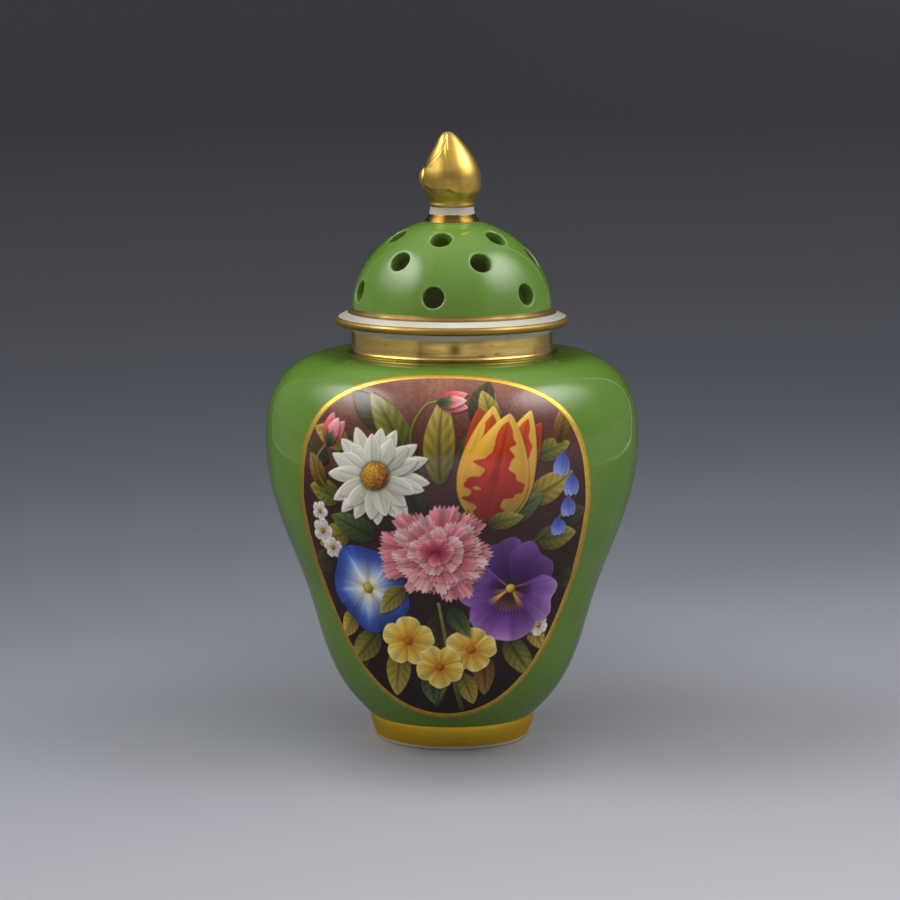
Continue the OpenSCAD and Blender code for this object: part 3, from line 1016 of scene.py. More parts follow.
class Canvas:
    def __init__(self, half, height):
        self.x = np.arange(-half, half, PAINT_STEP)
        self.y = np.arange(0, height, PAINT_STEP)
        self.colour = np.zeros((len(self.y), len(self.x), 3))
        self.relief = np.zeros((len(self.y), len(self.x)))

    def window(self, cx, cy, reach):
        cols = slice(*np.searchsorted(self.x, (cx - reach, cx + reach)))
        rows = slice(*np.searchsorted(self.y, (cy - reach, cy + reach)))
        dx, dy = np.meshgrid(self.x[cols] - cx, self.y[rows] - cy)
        return (rows, cols), dx, dy

    def darken(self, where, amount):
        self.colour[where] *= 1 - np.clip(amount, 0, 1)[..., None]

    def lay(self, where, cover, colour, thick=1.0):
        cover = np.clip(cover, 0, 1)
        self.colour[where] += cover[..., None] * (np.clip(colour, 0, 1) - self.colour[where])
        self.relief[where] += cover * (thick - self.relief[where])

    def read(self, x, y, layer):
        """Values between the canvas points."""
        fx = np.clip((x - self.x[0]) / PAINT_STEP, 0, len(self.x) - 1.001)
        fy = np.clip((y - self.y[0]) / PAINT_STEP, 0, len(self.y) - 1.001)
        x0, y0 = fx.astype(int), fy.astype(int)
        fx, fy = fx - x0, fy - y0
        if layer.ndim == 3:
            fx, fy = fx[..., None], fy[..., None]
        low = layer[y0, x0] * (1 - fx) + layer[y0, x0 + 1] * fx
        high = layer[y0 + 1, x0] * (1 - fx) + layer[y0 + 1, x0 + 1] * fx
        return low * (1 - fy) + high * fy


# How wide the soft edge of a stroke of paint is
BRUSH_EDGE = 0.16


def facing(dx, dy, lean):
    """Undoes the foreshortening of a flower that leans away: lean is (direction, squash)."""
    turn, squash = lean
    c, s = math.cos(turn), math.sin(turn)
    along, aside = (dx * c + dy * s) / squash, -dx * s + dy * c
    return along * c - aside * s, along * s + aside * c


FRONT_ON = (0.0, 1.0)


def petal(canvas, spot, turn, length, width, colours, blunt=1.0, bend=0.0, shadow=0.45, veins=0.06,
          rim=0.10, fold=0.10, ribs=0, feather=0.0, lean=FRONT_ON, seed=0, soft=BRUSH_EDGE):
    """One petal or leaf that starts at a spot: shadow first, then its shaded and veined body."""
    where, dx, dy = canvas.window(*spot, length * 1.1 + width)
    c, s = math.cos(turn), math.sin(turn)

    def measure(ox, oy):
        px, py = facing(dx - ox, dy - oy, lean)
        along = (px * c + py * s) / length
        inside = np.clip(along, 0, 1)
        aside = -px * s + py * c - bend * length * inside ** 2
        half = 0.5 * width * np.sin(math.pi * inside ** blunt) ** 0.75
        if feather:
            half = half * (1 + feather * smooth_noise(along * 16, aside * 0.3 + 9, seed + 5))
        edge = np.where((along > 0) & (along < 1), half - np.abs(aside), -1)
        return along, aside / np.maximum(half, 0.05), edge

    if shadow:
        _, _, edge = measure(0.35, -0.45)
        canvas.darken(where, shadow * ease((edge + 0.35) / 1.1))
    along, aside, edge = measure(0, 0)
    lit = 0.13 * np.clip(aside, -1, 1) * (-s * LIGHT_FROM[0] + c * LIGHT_FROM[1])
    tone = 1 + lit + veins * smooth_noise(aside * 5 + 20, along * 1.6, seed)
    tone -= fold * np.exp(-(aside / 0.14) ** 2)
    tone += rim * np.exp(-(edge / 0.3) ** 2)
    if ribs:
        off = np.abs(aside)
        tone += 0.10 * np.cos(2 * math.pi * (along * ribs - off * 1.4)) * np.clip(off * 2, 0, 1)
    colour = tint(colours, np.clip(along, 0, 1)) * tone[..., None]
    canvas.lay(where, edge / soft + 0.5, colour)


def fan(canvas, spot, turn, spread, radius, colours, fringe=0.0, teeth=7, ruffle=0.05, shadow=0.5,
        veins=0.10, rim=0.12, round_off=0.28, lean=FRONT_ON, seed=0):
    """One broad petal that opens from a flower's middle, with a plain, ruffled or fringed edge."""
    where, dx, dy = canvas.window(*spot, radius * 1.3 + 1)

    def measure(ox, oy):
        px, py = facing(dx - ox, dy - oy, lean)
        distance = np.hypot(px, py)
        aside = ((np.arctan2(py, px) - turn + math.pi) % (2 * math.pi) - math.pi) / spread
        level = np.zeros_like(aside)
        waves = ruffle * smooth_noise(aside * 2.2 + 7, level, seed)
        saw = np.abs((aside * teeth + 0.4 * smooth_noise(aside * 3, level, seed + 1)) % 1 - 0.5) * 2
        limit = radius * (1 - round_off * np.abs(aside) ** 3 + waves) - fringe * saw
        edge = np.minimum(limit - distance, (1 - np.abs(aside)) * spread * distance)
        return distance / radius, aside, edge

    if shadow:
        _, _, edge = measure(0.3, -0.4)
        canvas.darken(where, shadow * ease((edge + 0.4) / 1.2))
    along, aside, edge = measure(0, 0)
    towards_light = -math.sin(turn) * LIGHT_FROM[0] + math.cos(turn) * LIGHT_FROM[1]
    lit = 0.12 * np.clip(aside, -1, 1) * towards_light
    waves = 0.08 * np.sin(aside * 7 + seed) * np.clip(along, 0, 1)
    tone = 1 + lit + waves + veins * smooth_noise(aside * 9 + 30, along * 1.2, seed)
    tone += rim * np.exp(-(edge / 0.35) ** 2)
    colour = tint(colours, np.clip(along, 0, 1)) * tone[..., None]
    canvas.lay(where, edge / BRUSH_EDGE + 0.5, colour)


def disc(canvas, spot, radius, colours, seed, dots=0.25, lean=FRONT_ON):
    """A domed flower centre, lit from the upper left and stippled."""
    where, dx, dy = canvas.window(*spot, radius * 1.5)
    px, py = facing(dx, dy, lean)
    distance = np.hypot(px, py) / radius
    lit = 0.5 - 0.45 * (px * -LIGHT_FROM[0] - py * LIGHT_FROM[1]) / radius
    grain = smooth_noise(px * 3.2, py * 3.2, seed) * dots
    colour = tint(colours, np.clip(lit + grain - 0.25 * distance ** 3, 0, 1))
    canvas.darken(where, 0.45 * ease((1.25 - distance) / 0.3))
    canvas.lay(where, (1 - distance) * radius / BRUSH_EDGE + 0.5, colour)


def stalk(canvas, points, width, seed):
    """A stalk along a smooth line of spots, thinner towards its end."""
    points = np.array(points, float)
    knots = np.linspace(0, 1, len(points))
    fine = np.linspace(0, 1, 60)
    path = np.stack([smooth_path(knots, points[:, i], fine) for i in (0, 1)], axis=1)
    middle = (path.max(axis=0) + path.min(axis=0)) / 2
    where, dx, dy = canvas.window(*middle, np.ptp(path, axis=0).max() / 2 + 2 * width)
    x, y = dx + middle[0], dy + middle[1]
    nearest = np.full(x.shape, 1e9)
    share, side = np.zeros(x.shape), np.zeros(x.shape)
    for (ax, ay), (bx, by), f in zip(path[:-1], path[1:], fine):
        run = math.hypot(bx - ax, by - ay) + 1e-9
        t = np.clip(((x - ax) * (bx - ax) + (y - ay) * (by - ay)) / run ** 2, 0, 1)
        ox, oy = x - ax - t * (bx - ax), y - ay - t * (by - ay)
        gap = np.hypot(ox, oy)
        closer = gap < nearest
        nearest = np.where(closer, gap, nearest)
        share = np.where(closer, f, share)
        side = np.where(closer, ox * LIGHT_FROM[0] + oy * LIGHT_FROM[1], side)
    half = 0.5 * width * (1 - 0.45 * share)
    canvas.darken(where, 0.35 * ease((half + 0.5 - nearest) / 0.7))
    tone = 1 + 0.35 * np.clip(side / half, -1, 1) + 0.08 * smooth_noise(x * 1.5, y * 1.5, seed)
    canvas.lay(where, (half - nearest) / BRUSH_EDGE + 0.5, tint(STALK, share) * tone[..., None], 0.6)


def smooth_path(knots, values, fine):
    """A curve through a few values without corners."""
    slopes = np.gradient(values, knots)
    place = np.clip(np.searchsorted(knots, fine, side="right") - 1, 0, len(knots) - 2)
    width = knots[place + 1] - knots[place]
    t = (fine - knots[place]) / width
    start, end = values[place], values[place + 1]
    a, b = slopes[place] * width, slopes[place + 1] * width
    return ((2 * t ** 3 - 3 * t ** 2 + 1) * start + (t ** 3 - 2 * t ** 2 + t) * a
            + (-2 * t ** 3 + 3 * t ** 2) * end + (t ** 3 - t ** 2) * b)


# Colours of the painted flowers, from the middle of a flower or the foot of a leaf outwards
DAISY = ((134, 138, 104), (206, 204, 182), (229, 226, 209))
DAISY_EYE = ((96, 56, 8), (190, 128, 22), (236, 192, 74))
CARNATION = ((112, 18, 44), (196, 72, 92), (236, 168, 166))
CARNATION_PALE = ((150, 34, 60), (222, 118, 124), (246, 206, 198))
PANSY_BACK = ((40, 16, 50), (70, 34, 92), (112, 70, 142))
PANSY_SIDE = ((206, 150, 40), (98, 52, 128), (128, 84, 156), (172, 132, 186))
PANSY_LIP = ((236, 186, 40), (222, 160, 48), (92, 44, 122), (120, 72, 150), (160, 116, 178))
PANSY_LINES = ((40, 12, 46), (52, 18, 60))
PANSY_EYE = ((150, 90, 10), (238, 196, 60), (250, 232, 150))
TRUMPET = ((226, 206, 96), (232, 230, 220), (150, 172, 214), (66, 92, 172), (44, 62, 140))
TRUMPET_RAY = (214, 218, 232)
TRUMPET_EYE = ((120, 96, 20), (206, 176, 60), (244, 232, 160))
TULIP_SKIN = ((150, 120, 40), (226, 164, 52), (236, 190, 84))
TULIP_FLAME = ((120, 20, 14), (186, 44, 24), (206, 84, 36))
TULIP_DEEP = ((84, 14, 12), (140, 32, 20), (176, 70, 30))
PRIMROSE = ((188, 108, 14), (222, 178, 62), (238, 214, 122))
PRIMROSE_EYE = ((130, 60, 6), (204, 116, 16), (232, 160, 40))
BLOSSOM = ((150, 140, 120), (214, 200, 190), (236, 226, 214))
BELL = ((58, 66, 140), (88, 104, 184), (150, 166, 220))
ROSEBUD = ((130, 22, 44), (200, 70, 84), (232, 150, 146))
LEAF_OLIVE = ((58, 60, 20), (112, 108, 36), (158, 146, 62))
LEAF_YELLOW = ((84, 78, 24), (150, 132, 46), (186, 166, 82))
LEAF_GREEN = ((34, 46, 22), (66, 84, 40), (108, 122, 66))
LEAF_BROWN = ((64, 42, 18), (118, 84, 34), (156, 118, 56))
LEAF_DIM = ((36, 32, 18), (62, 56, 26), (80, 70, 34))
STALK = ((66, 64, 22), (112, 106, 40), (138, 128, 58))


def daisy(canvas, spot, size, lean, seed):
    rng = np.random.default_rng(seed)
    for reach, count in ((1.0, 16), (0.84, 13)):
        for k in range(count):
            turn = 2 * math.pi * (k + 0.5 * (reach < 1)) / count + rng.normal(0, 0.06)
            length = size * reach * rng.uniform(0.92, 1.04)
            petal(canvas, spot, turn, length, size * 0.31, DAISY, blunt=1.35, bend=rng.normal(0, 0.05),
                  shadow=0.32, veins=0.07, lean=lean, seed=seed + k)
    disc(canvas, spot, size * 0.27, DAISY_EYE, seed, 0.38, lean)


def carnation(canvas, spot, size, lean, seed):
    rng = np.random.default_rng(seed)
    for reach, count, colours in ((1.0, 9, CARNATION), (0.82, 8, CARNATION_PALE), (0.64, 7, CARNATION),
                                  (0.47, 5, CARNATION_PALE), (0.31, 4, CARNATION)):
        start = rng.uniform(0, 2 * math.pi)
        for k in range(count):
            turn = start + 2 * math.pi * k / count + rng.normal(0, 0.08)
            shift = (spot[0] + rng.normal(0, 0.02) * size, spot[1] + rng.normal(0, 0.02) * size)
            fan(canvas, shift, turn, 1.25 * math.pi / count, size * reach * rng.uniform(0.9, 1.05), colours,
                fringe=0.075 * size * reach, teeth=5, ruffle=0.10, shadow=0.40, veins=0.16, lean=lean,
                seed=seed + 9 * k)


def pansy(canvas, spot, size, turn, seed):
    up, down = turn + math.pi / 2, turn - math.pi / 2
    for side, reach in ((1, 1.0), (-1, 0.97)):
        fan(canvas, spot, up + side * 0.52, 0.80, size * reach, PANSY_BACK, ruffle=0.09, seed=seed + side)
    for side, reach in ((-1, 0.98), (1, 1.0)):
        fan(canvas, spot, up + side * 1.68, 0.70, size * reach, PANSY_SIDE, ruffle=0.08, seed=seed + 5 + side)
    fan(canvas, spot, down, 0.86, size * 1.02, PANSY_LIP, ruffle=0.10, round_off=0.2, seed=seed + 9)
    for middle, count, reach in ((down, 9, 0.55), (turn + 0.08, 5, 0.42), (turn + math.pi - 0.08, 5, 0.42)):
        for k in range(count):
            line_turn = middle + (k - (count - 1) / 2) * 0.13
            petal(canvas, spot, line_turn, size * reach, 0.42, PANSY_LINES, shadow=0, veins=0, rim=0, fold=0,
                  soft=0.3, seed=seed + k)
    disc(canvas, spot, size * 0.09, PANSY_EYE, seed, 0.1)


def trumpet(canvas, spot, size, lean, seed):
    where, dx, dy = canvas.window(*spot, size * 1.4)
    px, py = facing(dx, dy, lean)
    turn = np.arctan2(py, px) + 0.4
    distance = np.hypot(px, py)
    uneven = smooth_noise(turn * 3 + 20, np.zeros_like(turn), seed)
    limit = size * (1 + 0.045 * np.cos(5 * turn) + 0.02 * uneven)
    edge = limit - distance
    canvas.darken(where, 0.5 * ease((edge + 0.7) / 1.2))
    share = np.clip(distance / limit, 0, 1)
    ray = np.exp(-(np.sin(2.5 * turn) / (0.10 + 0.10 * (1 - share))) ** 2) * ease((0.98 - share) / 0.5)
    colour = tint(TRUMPET, share)
    colour += 0.55 * ray[..., None] * (np.array(TRUMPET_RAY) / 255 - colour)
    tone = 1 + 0.10 * np.cos(5 * turn) + 0.12 * (px * LIGHT_FROM[0] + py * LIGHT_FROM[1]) / size
    tone += 0.10 * smooth_noise(turn * 14 + 40, share * 2, seed) + 0.16 * np.exp(-(edge / 0.35) ** 2)
    canvas.lay(where, edge / BRUSH_EDGE + 0.5, colour * tone[..., None])
    disc(canvas, spot, size * 0.12, TRUMPET_EYE, seed, 0.1, lean)


def tulip(canvas, spot, size, turn, seed):
    for side, reach, number in ((1, 0.98, 1), (-1, 0.96, 2)):
        petal(canvas, spot, turn + side * 0.20, size * reach, size * 0.42, TULIP_DEEP, blunt=0.72,
              bend=side * 0.10, seed=seed + number)
    for offset, reach, width, bend, number in ((0.34, 0.98, 0.46, -0.16, 3), (-0.34, 1.0, 0.46, 0.18, 4),
                                               (0.0, 0.94, 0.58, 0.02, 5)):
        petal(canvas, spot, turn + offset, size * reach, size * width, TULIP_SKIN, blunt=0.72, bend=bend,
              seed=seed + number)
        petal(canvas, spot, turn + offset, size * reach * 0.93, size * width * 0.62, TULIP_FLAME, blunt=0.66,
              bend=bend, shadow=0, rim=0, feather=0.55, veins=0.14, seed=seed + 20 + number)


def five_petals(canvas, spot, size, turn, seed, spread, colours, eye_size, eye, **looks):
    for k in range(5):
        fan(canvas, spot, turn + 2 * math.pi * k / 5, spread, size, colours, seed=seed + k, **looks)
    disc(canvas, spot, size * eye_size, eye, seed, 0.2)


def primrose(canvas, spot, size, turn, seed):
    five_petals(canvas, spot, size, turn, seed, 0.66, PRIMROSE, 0.16, PRIMROSE_EYE,
                ruffle=0.05, round_off=0.22, shadow=0.35, veins=0.06)


def blossom(canvas, spot, size, turn, seed):
    five_petals(canvas, spot, size, turn, seed, 0.62, BLOSSOM, 0.22, DAISY_EYE,
                ruffle=0.04, round_off=0.25, shadow=0.30, veins=0.05)


def bells(canvas, spots, size, turn, seed):
    for k, spot in enumerate(spots):
        for offset in (-0.26, 0.26, 0.0):
            petal(canvas, spot, turn + offset + 0.1 * k, size * (1 - 0.06 * k), size * 0.46, BELL, blunt=1.25,
                  shadow=0.3, seed=seed + k)


def rosebud(canvas, spot, size, turn, seed):
    petal(canvas, spot, turn + 0.25, size, size * 0.52, ROSEBUD, blunt=0.85, seed=seed)
    petal(canvas, spot, turn - 0.25, size, size * 0.50, ROSEBUD, blunt=0.85, seed=seed + 1)
    petal(canvas, spot, turn, size * 0.94, size * 0.46, CARNATION_PALE, blunt=0.8, seed=seed + 2)
    for offset in (-0.45, 0.0, 0.45):
        petal(canvas, spot, turn + offset, size * 0.55, size * 0.16, LEAF_GREEN, blunt=0.8, seed=seed + 3)


def leaf(canvas, spot, turn, length, width, colours, bend, seed):
    petal(canvas, spot, turn, length, width, colours, blunt=0.80, bend=bend, shadow=0.40, veins=0.10,
          rim=0.06, fold=0.28, ribs=6, seed=seed)


def seen(x, z):
    """A place on the canvas, by where it is seen from the front."""
    radius = float(wall_radius(z))
    return radius * math.asin(max(-1, min(1, x / radius))), float(wall_length(z) - wall_length(panel_base))


# Colours of the painted ground, from the bottom upwards
GROUND = ((34, 14, 13), (46, 21, 19), (64, 32, 28), (104, 60, 46), (148, 96, 76))

# Leaves: place seen from the front, direction in degrees, length, width, colours and bend
LEAVES = (
    (-8, 76, 112, 18, 7.5, LEAF_OLIVE, 0.14), (0, 70, 94, 21, 7.5, LEAF_YELLOW, -0.10),
    (5, 74, 62, 16, 6.5, LEAF_GREEN, -0.12), (-22, 78, 150, 11, 6.0, LEAF_YELLOW, 0.16),
    (-24, 66, 178, 10, 6.5, LEAF_OLIVE, -0.12), (-22, 57, 196, 11, 7.0, LEAF_YELLOW, 0.14),
    (-16, 56, 150, 13, 7.0, LEAF_GREEN, 0.12), (22, 76, 24, 10, 5.5, LEAF_OLIVE, -0.14),
    (20, 66, 18, 14, 7.0, LEAF_YELLOW, 0.12), (22, 56, -4, 12, 7.0, LEAF_OLIVE, 0.10),
    (14, 60, 40, 13, 6.5, LEAF_GREEN, -0.10), (20, 34, -52, 9, 5.5, LEAF_YELLOW, -0.12),
    (15, 31, -66, 14, 6.5, LEAF_OLIVE, 0.14), (9, 27, -82, 12, 5.5, LEAF_BROWN, -0.10),
    (-21, 36, 226, 9, 5.5, LEAF_YELLOW, 0.14), (-16, 32, 236, 13, 7.0, LEAF_OLIVE, -0.12),
    (-10, 28, 256, 14, 6.5, LEAF_YELLOW, 0.10), (-3, 23, 268, 11, 5.5, LEAF_GREEN, 0.10),
    (4, 22, 292, 10, 5.0, LEAF_YELLOW, -0.10), (-28, 68, 128, 9, 5.0, LEAF_BROWN, -0.12),
    (27, 79, 66, 9, 4.6, LEAF_BROWN, 0.14), (12, 84, 100, 9, 4.6, LEAF_YELLOW, 0.12),
)

# Leaves that are lost in the ground: place, direction, length and width
DIM_LEAVES = (
    (-12, 82, 130, 14, 7.5), (8, 84, 70, 12, 6.5), (-26, 50, 200, 9, 6.5), (27, 46, -30, 9, 6.0),
    (-18, 28, 228, 11, 6.0), (17, 27, -58, 11, 6.0), (28, 60, 10, 8, 5.5), (-27, 74, 150, 9, 5.5),
    (-4, 62, 120, 16, 8.0), (8, 66, 60, 16, 8.0), (0, 38, 260, 18, 8.0), (-10, 44, 215, 16, 8.0),
    (10, 40, -40, 16, 8.0),
)


def paint_ground(canvas):
    x, y = np.meshgrid(canvas.x, canvas.y)
    height = (wall_height(y + wall_length(panel_base)) - panel_base) / (panel_top - panel_base)
    share = np.interp(height, (0, 0.35, 0.68, 0.88, 1.0), (0, 0.25, 0.5, 0.75, 1.0))
    stipple = 0.11 * smooth_noise(x * 2.9, y * 2.9, 3) + 0.07 * smooth_noise(x * 1.1, y * 1.1, 4)
    clouds = 0.06 * smooth_noise(x * 0.16, y * 0.16, 5)
    canvas.colour[:] = tint(GROUND, share + clouds * 0.5) * (1 + stipple + clouds)[..., None]


def paint_leaves(canvas):
    for i, (x, z, degrees, length, width) in enumerate(DIM_LEAVES):
        leaf(canvas, seen(x, z), math.radians(degrees), length, width, LEAF_DIM, 0.1, 300 + i)
    for i, (x, z, degrees, length, width, colours, bend) in enumerate(LEAVES):
        leaf(canvas, seen(x, z), math.radians(degrees), length, width, colours, bend, 400 + 7 * i)


# Stalks: width, and the places seen from the front that they pass
STALKS = (
    (1.3, (4, 12), (2, 22), (-1, 40)),
    (1.1, (-2, 13), (1, 20), (8, 40)),
    (1.5, (8, 55), (9, 60), (11, 68)),
    (0.9, (-20, 62), (-28, 68), (-30, 74), (-27, 79)),
    (0.9, (20, 54), (27, 60), (30.5, 68), (28.5, 76)),
    (0.9, (-4, 72), (-7, 81), (-4, 88), (0, 89.5)),
    (0.7, (-18, 52), (-26, 53), (-29, 56)),
    (0.7, (16, 34), (20, 31), (22, 32.5)),
)


def paint_stalks(canvas):
    for i, (width, *places) in enumerate(STALKS):
        stalk(canvas, [seen(x, z) for x, z in places], width, i + 1)


# Small flowers: places seen from the front, and sizes where these differ
BLOSSOMS = ((-29, 56.5, 3.4), (-26.5, 52.5, 3.0), (22.3, 33.0, 3.0), (-29.5, 61.5, 2.6))
BELLS = ((28.5, 77), (30.5, 71.5), (29.5, 66), (27, 61))


def paint_flowers(canvas):
    rosebud(canvas, seen(-27.5, 78), 8.0, math.radians(62), 510)
    rosebud(canvas, seen(-1, 89), 7.5, math.radians(4), 520)
    bells(canvas, [seen(x, z) for x, z in BELLS], 6.2, math.radians(262), 530)
    for i, (x, z, size) in enumerate(BLOSSOMS):
        blossom(canvas, seen(x, z), size, 0.4 * i, 535 + 9 * i)
    tulip(canvas, seen(10.5, 61), 28, math.radians(76), 540)
    daisy(canvas, seen(-15.5, 71.5), 13.5, (math.radians(120), 0.90), 550)
    trumpet(canvas, seen(-18, 43), 12.0, (math.radians(205), 0.86), 560)
    pansy(canvas, seen(16, 43.5), 13.6, math.radians(-14), 570)
    primrose(canvas, seen(-8.5, 30), 6.6, 0.3, 580)
    primrose(canvas, seen(6.5, 28), 6.2, 1.4, 600)
    primrose(canvas, seen(-1, 23.5), 6.0, 0.9, 590)
    carnation(canvas, seen(-1, 53), 15.0, (math.radians(80), 0.94), 610)
    leaf(canvas, seen(-9, 44), math.radians(222), 10, 5.0, LEAF_YELLOW, 0.14, 620)
    leaf(canvas, seen(11, 60), math.radians(20), 9, 4.6, LEAF_OLIVE, -0.14, 630)
    leaf(canvas, seen(2, 39), math.radians(-70), 9, 4.6, LEAF_GREEN, 0.14, 640)


def to_linear(colour):
    return np.where(colour <= 0.04045, colour / 12.92, ((colour + 0.055) / 1.055) ** 2.4)


def painted_canvas():
    canvas = Canvas(44, wall_length(panel_top) - wall_length(panel_base))
    paint_ground(canvas)
    paint_leaves(canvas)
    paint_stalks(canvas)
    paint_flowers(canvas)
    return canvas


def sheet_faces(start, rows, columns, flipped):
    """Quads between rows of points, given the first point's index."""
    faces = []
    for i in range(rows - 1):
        near, far = start + i * columns, start + (i + 1) * columns
        a, b = (far, near) if flipped else (near, far)
        faces += [(a + j, a + j + 1, b + j + 1, b + j) for j in range(columns - 1)]
    return faces


def hem_faces(rows, columns, back_start, back_columns):
    """Faces that join the edges of a front sheet to those of the sheet behind it."""
    faces = []
    for i in range(rows - 1):
        left, right = i * columns, (i + 1) * columns - 1
        a, b = back_start + i * back_columns, back_start + (i + 1) * back_columns
        faces.append((a, left, left + columns, b))
        faces.append((right, a + back_columns - 1, b + back_columns - 1, right + columns))
    for row, flipped in ((0, False), (rows - 1, True)):
        ring = [back_start + row * back_columns + j for j in range(back_columns)]
        ring += [row * columns + j for j in reversed(range(columns))]
        faces.append(tuple(reversed(ring)) if flipped else tuple(ring))
    return faces


# The panel's edge lies under the border, set in from the border's outer edge by this share of its width
panel_inset = 0.55

# Points of the panel's front and back, and how far its front, its paint and its back lie off the body
panel_rows, panel_columns, panel_back_columns = 480, 340, 24
paint_lift, paint_relief, panel_root = 0.08, 0.05, 0.1


def make_panel():
    canvas = painted_canvas()
    half = panel_half(panel_inset, 400)
    low, high = wall_length(half[0, 1]), wall_length(half[-1, 1])
    z = wall_height(low + (high - low) * np.linspace(1e-4, 1 - 1e-4, panel_rows))[:, None]
    reach = np.arcsin(np.interp(z, half[:, 1], half[:, 0]) / wall_radius(z))

    def sheet(columns, lift):
        x = wall_radius(z) * np.sin(reach * np.linspace(-1, 1, columns))
        return on_wall(x, np.broadcast_to(z, x.shape), lift).reshape(-1, 3)

    canvas_x = wall_radius(z) * reach * np.linspace(-1, 1, panel_columns)
    canvas_y = np.broadcast_to(wall_length(z) - wall_length(panel_base), canvas_x.shape)
    colour = to_linear(canvas.read(canvas_x, canvas_y, canvas.colour))
    relief = canvas.read(canvas_x, canvas_y, canvas.relief)
    front = sheet(panel_columns, paint_lift + paint_relief * relief)
    back = sheet(panel_back_columns, -panel_root)
    faces = sheet_faces(0, panel_rows, panel_columns, False)
    faces += sheet_faces(len(front), panel_rows, panel_back_columns, True)
    faces += hem_faces(panel_rows, panel_columns, len(front), panel_back_columns)
    piece = add_piece("panel", np.concatenate([front, back]), faces, [enamel],
                      "vase", ["front_panel"])
    paint = piece.data.color_attributes.new("paint", "FLOAT_COLOR", "POINT")
    values = np.ones((len(front) + len(back), 4), np.float32)
    values[:len(front), :3] = colour.reshape(-1, 3)
    values[len(front):, :3] = to_linear(np.array(GROUND[1]) / 255)
    paint.data.foreach_set("color", values.ravel())


make_body()
make_foot()
make_neck()
make_border()
make_panel()
make_ring()
make_flange()
make_dome()
make_stem()
make_bud()


# Floor, light and camera

# Painted shade on the floor before and behind the vase: Y of its centre, reach and depth
FLOOR_SHADES = ((-0.034, 0.042, 0.38), (0.075, 0.11, 0.36))


# Colours of the floor, by shares of the way from before the vase to far behind it
FLOOR_SPAN = (-0.4, 3.0)
FLOOR_COLOURS = (
    (0.0, (0.69, 0.68, 0.72)), (0.08, (0.345, 0.345, 0.372)), (0.13, (0.315, 0.325, 0.36)),
    (0.17, (0.195, 0.205, 0.235)), (0.26, (0.114, 0.123, 0.148)), (0.42, (0.108, 0.116, 0.135)),
    (1.0, (0.039, 0.037, 0.049)),
)
# How much lighter the floor is made towards +X: painted light
FLOOR_SLANT = 0.14
FLOOR_SIZE = 40.0


def make_floor():
    shader = Shader("floor")
    place = shader.split(shader.place)
    slant = shader.math("MULTIPLY", place["X"], FLOOR_SLANT)
    away = shader.math("SUBTRACT", shader.map(place["Y"], *FLOOR_SPAN), slant)
    colour = shader.ramp(away, FLOOR_COLOURS, "B_SPLINE")
    # Painted shade: in reflections the floor shows darker from a little before the vase backwards, and the
    # painted shades show only where the floor is seen directly
    mirrored = shader.add("ShaderNodeLightPath").outputs["Is Glossy Ray"]
    direct = shader.math("SUBTRACT", 1.0, mirrored)
    dimmed = shader.math("MULTIPLY", mirrored, shader.map(away, 0.06, 0.12, 0.0, 0.6))
    for centre, reach, depth in FLOOR_SHADES:
        far = shader.length(place["X"], shader.math("SUBTRACT", place["Y"], centre))
        shade = shader.map(far, 0.0, reach, depth, 0.0, "SMOOTHSTEP")
        dimmed = shader.math("ADD", dimmed, shader.math("MULTIPLY", direct, shade))
    near = shader.mix(shader.map(place["Y"], -2.0, -1.0), (0.16, 0.16, 0.18), colour)
    shader.set(Base_Color=shader.mix(dimmed, near, (0, 0, 0)), Roughness=0.7)
    mesh = bpy.data.meshes.new("floor")
    corners = [(x * FLOOR_SIZE, y * FLOOR_SIZE, 0) for x, y in ((-1, -1), (1, -1), (1, 1), (-1, 1))]
    mesh.from_pydata(corners, [], [(0, 1, 2, 3)])
    mesh.materials.append(shader.material)
    floor = bpy.data.objects.new("floor", mesh)
    bpy.context.collection.objects.link(floor)


def add_lamp(name, size, location, rotation):
    """A square lamp whose strength is what it shows, where 1 is white. Returns its nodes."""
    light = bpy.data.lights.new(name, "AREA")
    light.size = size
    light.energy = math.pi * size ** 2
    light.use_nodes = True
    lamp = bpy.data.objects.new(name, light)
    lamp.location = location
    lamp.rotation_euler = rotation
    bpy.context.collection.objects.link(lamp)
    return Nodes(light.node_tree)


def set_strength(nodes, strength):
    nodes.put(nodes.tree.nodes["Emission"].inputs["Strength"], strength)


WALL_AWAY = 0.35
WALL_SIZE = 1.2
TABLE_AWAY = 0.35
TABLE_SIZE = 1.0
TABLE_GLOW = 0.38

# The glow on the wall lamps: its Y and Z, and its reach
GLOW_AT = (-0.06, 0.52)
GLOW_REACH = 0.385

# Slanting edges of the wall lamps' lit part: a distance, and the shares of Y and Z that add up to it there
WALL_EDGES = ((0.57, 0.89, 0.45), (0.24, 0.54, -0.84))
WALL_LINE = ((0.0, (0, 0, 0)), (0.002, (1, 1, 1)), (0.008, (1, 1, 1)), (0.010, (0, 0, 0)))


def inside_wall(nodes, place):
    """How far a point of a wall lamp lies inside the edges of the lit part, with rounded corners."""
    gaps = []
    for distance, y_share, z_share in WALL_EDGES:
        reached = nodes.math("ADD", nodes.math("MULTIPLY", place["Y"], y_share),
                             nodes.math("MULTIPLY", place["Z"], z_share))
        gaps.append(nodes.math("SUBTRACT", distance, reached))
    return nodes.math("SMOOTH_MIN", nodes.math("SMOOTH_MIN", *gaps, 0.08), place["Z"], 0.03)


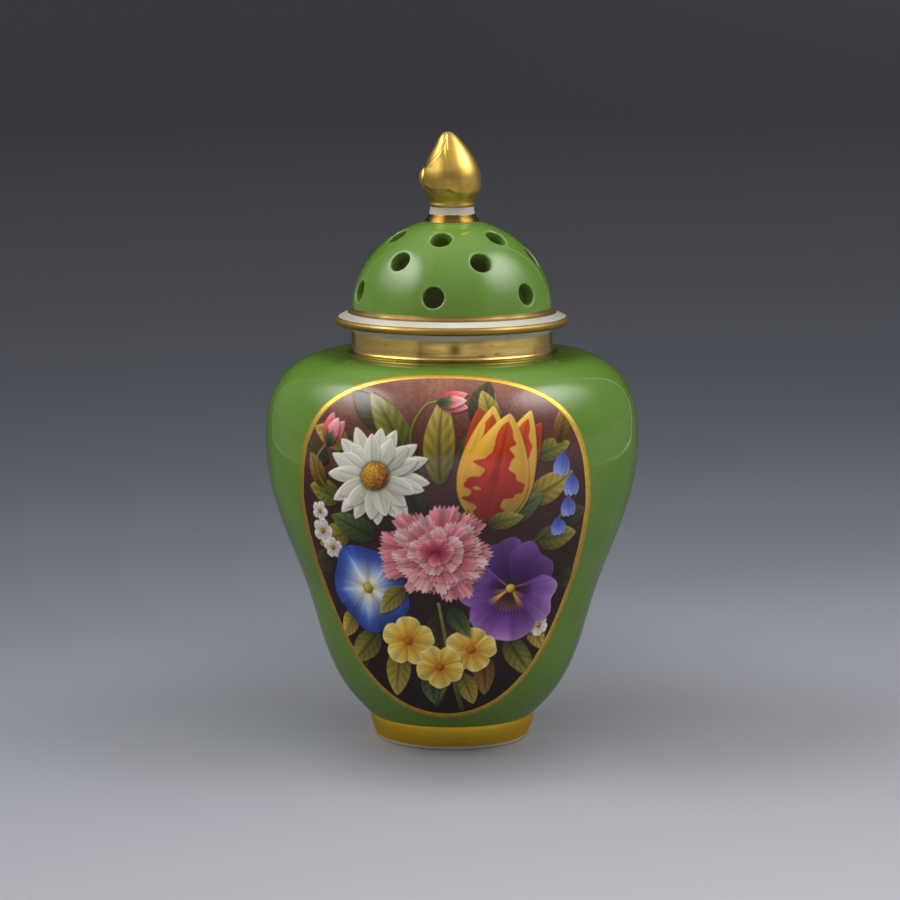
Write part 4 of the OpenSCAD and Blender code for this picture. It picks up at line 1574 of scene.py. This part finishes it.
def add_wall_lamp(name, side, glow, even, outline):
    """A wide lamp beside the vase: a glow high up, an even veil, and a thin outline that slants forwards as
    it rises."""
    nodes = add_lamp(name, WALL_SIZE, (side * WALL_AWAY, 0, WALL_SIZE / 2 + 0.001),
                     (math.pi / 2, 0, side * math.pi / 2))
    place = nodes.split(nodes.add("ShaderNodeNewGeometry").outputs["Position"])
    inside = inside_wall(nodes, place)
    line = nodes.ramp(inside, WALL_LINE)
    line = nodes.math("MULTIPLY", line, nodes.map(place["Y"], 0.0, 0.4, 0.1 * outline, outline))
    line = nodes.math("MULTIPLY", line, nodes.map(place["Z"], 0.02, 0.3, 0.3, 1.1))
    far = nodes.length(nodes.math("SUBTRACT", place["Y"], GLOW_AT[0]),
                       nodes.math("SUBTRACT", place["Z"], GLOW_AT[1]))
    bright = nodes.math("MULTIPLY", nodes.map(far, 0, GLOW_REACH, glow, 0, "SMOOTHERSTEP"),
                        nodes.map(inside, 0, 0.25, shape="SMOOTHSTEP"))
    veil = nodes.math("MULTIPLY", nodes.map(place["Y"], -0.3, 0.45, 0.30, even),
                      nodes.map(place["Y"], -WALL_SIZE / 2, -0.3, shape="SMOOTHSTEP"))
    veil = nodes.math("ADD", nodes.math("MULTIPLY", nodes.map(inside, 0, 0.004), veil), line)
    set_strength(nodes, nodes.math("ADD", veil, bright))


def add_table_lamp():
    """A pale glow off the table in front of the vase, which the upright gilding mirrors."""
    nodes = add_lamp("table_front", TABLE_SIZE, (0, -TABLE_AWAY - TABLE_SIZE / 2, 0.002), (math.pi, 0, 0))
    place = nodes.split(nodes.add("ShaderNodeNewGeometry").outputs["Position"])
    aside = nodes.math("ABSOLUTE", place["X"])
    set_strength(nodes, nodes.map(aside, 0.1, TABLE_SIZE / 2, TABLE_GLOW, 0, "SMOOTHSTEP"))


def make_world():
    world = bpy.data.worlds.new("studio")
    world.use_nodes = True
    nodes = Nodes(world.node_tree)
    towards = nodes.split(nodes.add("ShaderNodeTexCoord").outputs["Generated"])
    colour = nodes.ramp(towards["Y"], ((0.0, (0.98, 0.98, 1.0)), (0.40, (0.80, 0.80, 0.84)),
                                       (0.90, (0.12, 0.12, 0.15))))
    overhead = nodes.map(towards["Z"], 0.3, 0.95, 0.07, 0.80, "SMOOTHSTEP")
    front = nodes.map(towards["Y"], -0.95, -0.5, 0.16, 0.0, "SMOOTHSTEP")
    background = world.node_tree.nodes["Background"]
    nodes.put(background.inputs["Color"], colour)
    nodes.put(background.inputs["Strength"], nodes.math("ADD", overhead, front))
    bpy.context.scene.world = world


CAMERA_AT = (-0.0005, -0.8251, 0.1948)
CAMERA_DIP = math.radians(8.5)


def make_camera():
    camera = bpy.data.cameras.new("camera")
    camera.lens = 135
    camera.sensor_width = 36
    camera.clip_start = 0.01
    eye = bpy.data.objects.new("camera", camera)
    eye.location = CAMERA_AT
    eye.rotation_euler = (math.pi / 2 - CAMERA_DIP, 0, 0)
    bpy.context.collection.objects.link(eye)
    bpy.context.scene.camera = eye


make_floor()
add_wall_lamp("wall_left", -1, 6.6, 0.10, 0.4)
add_wall_lamp("wall_right", 1, 6.2, 0.08, 2.0)
add_table_lamp()
make_world()
make_camera()
bpy.context.scene.view_settings.view_transform = "Standard"
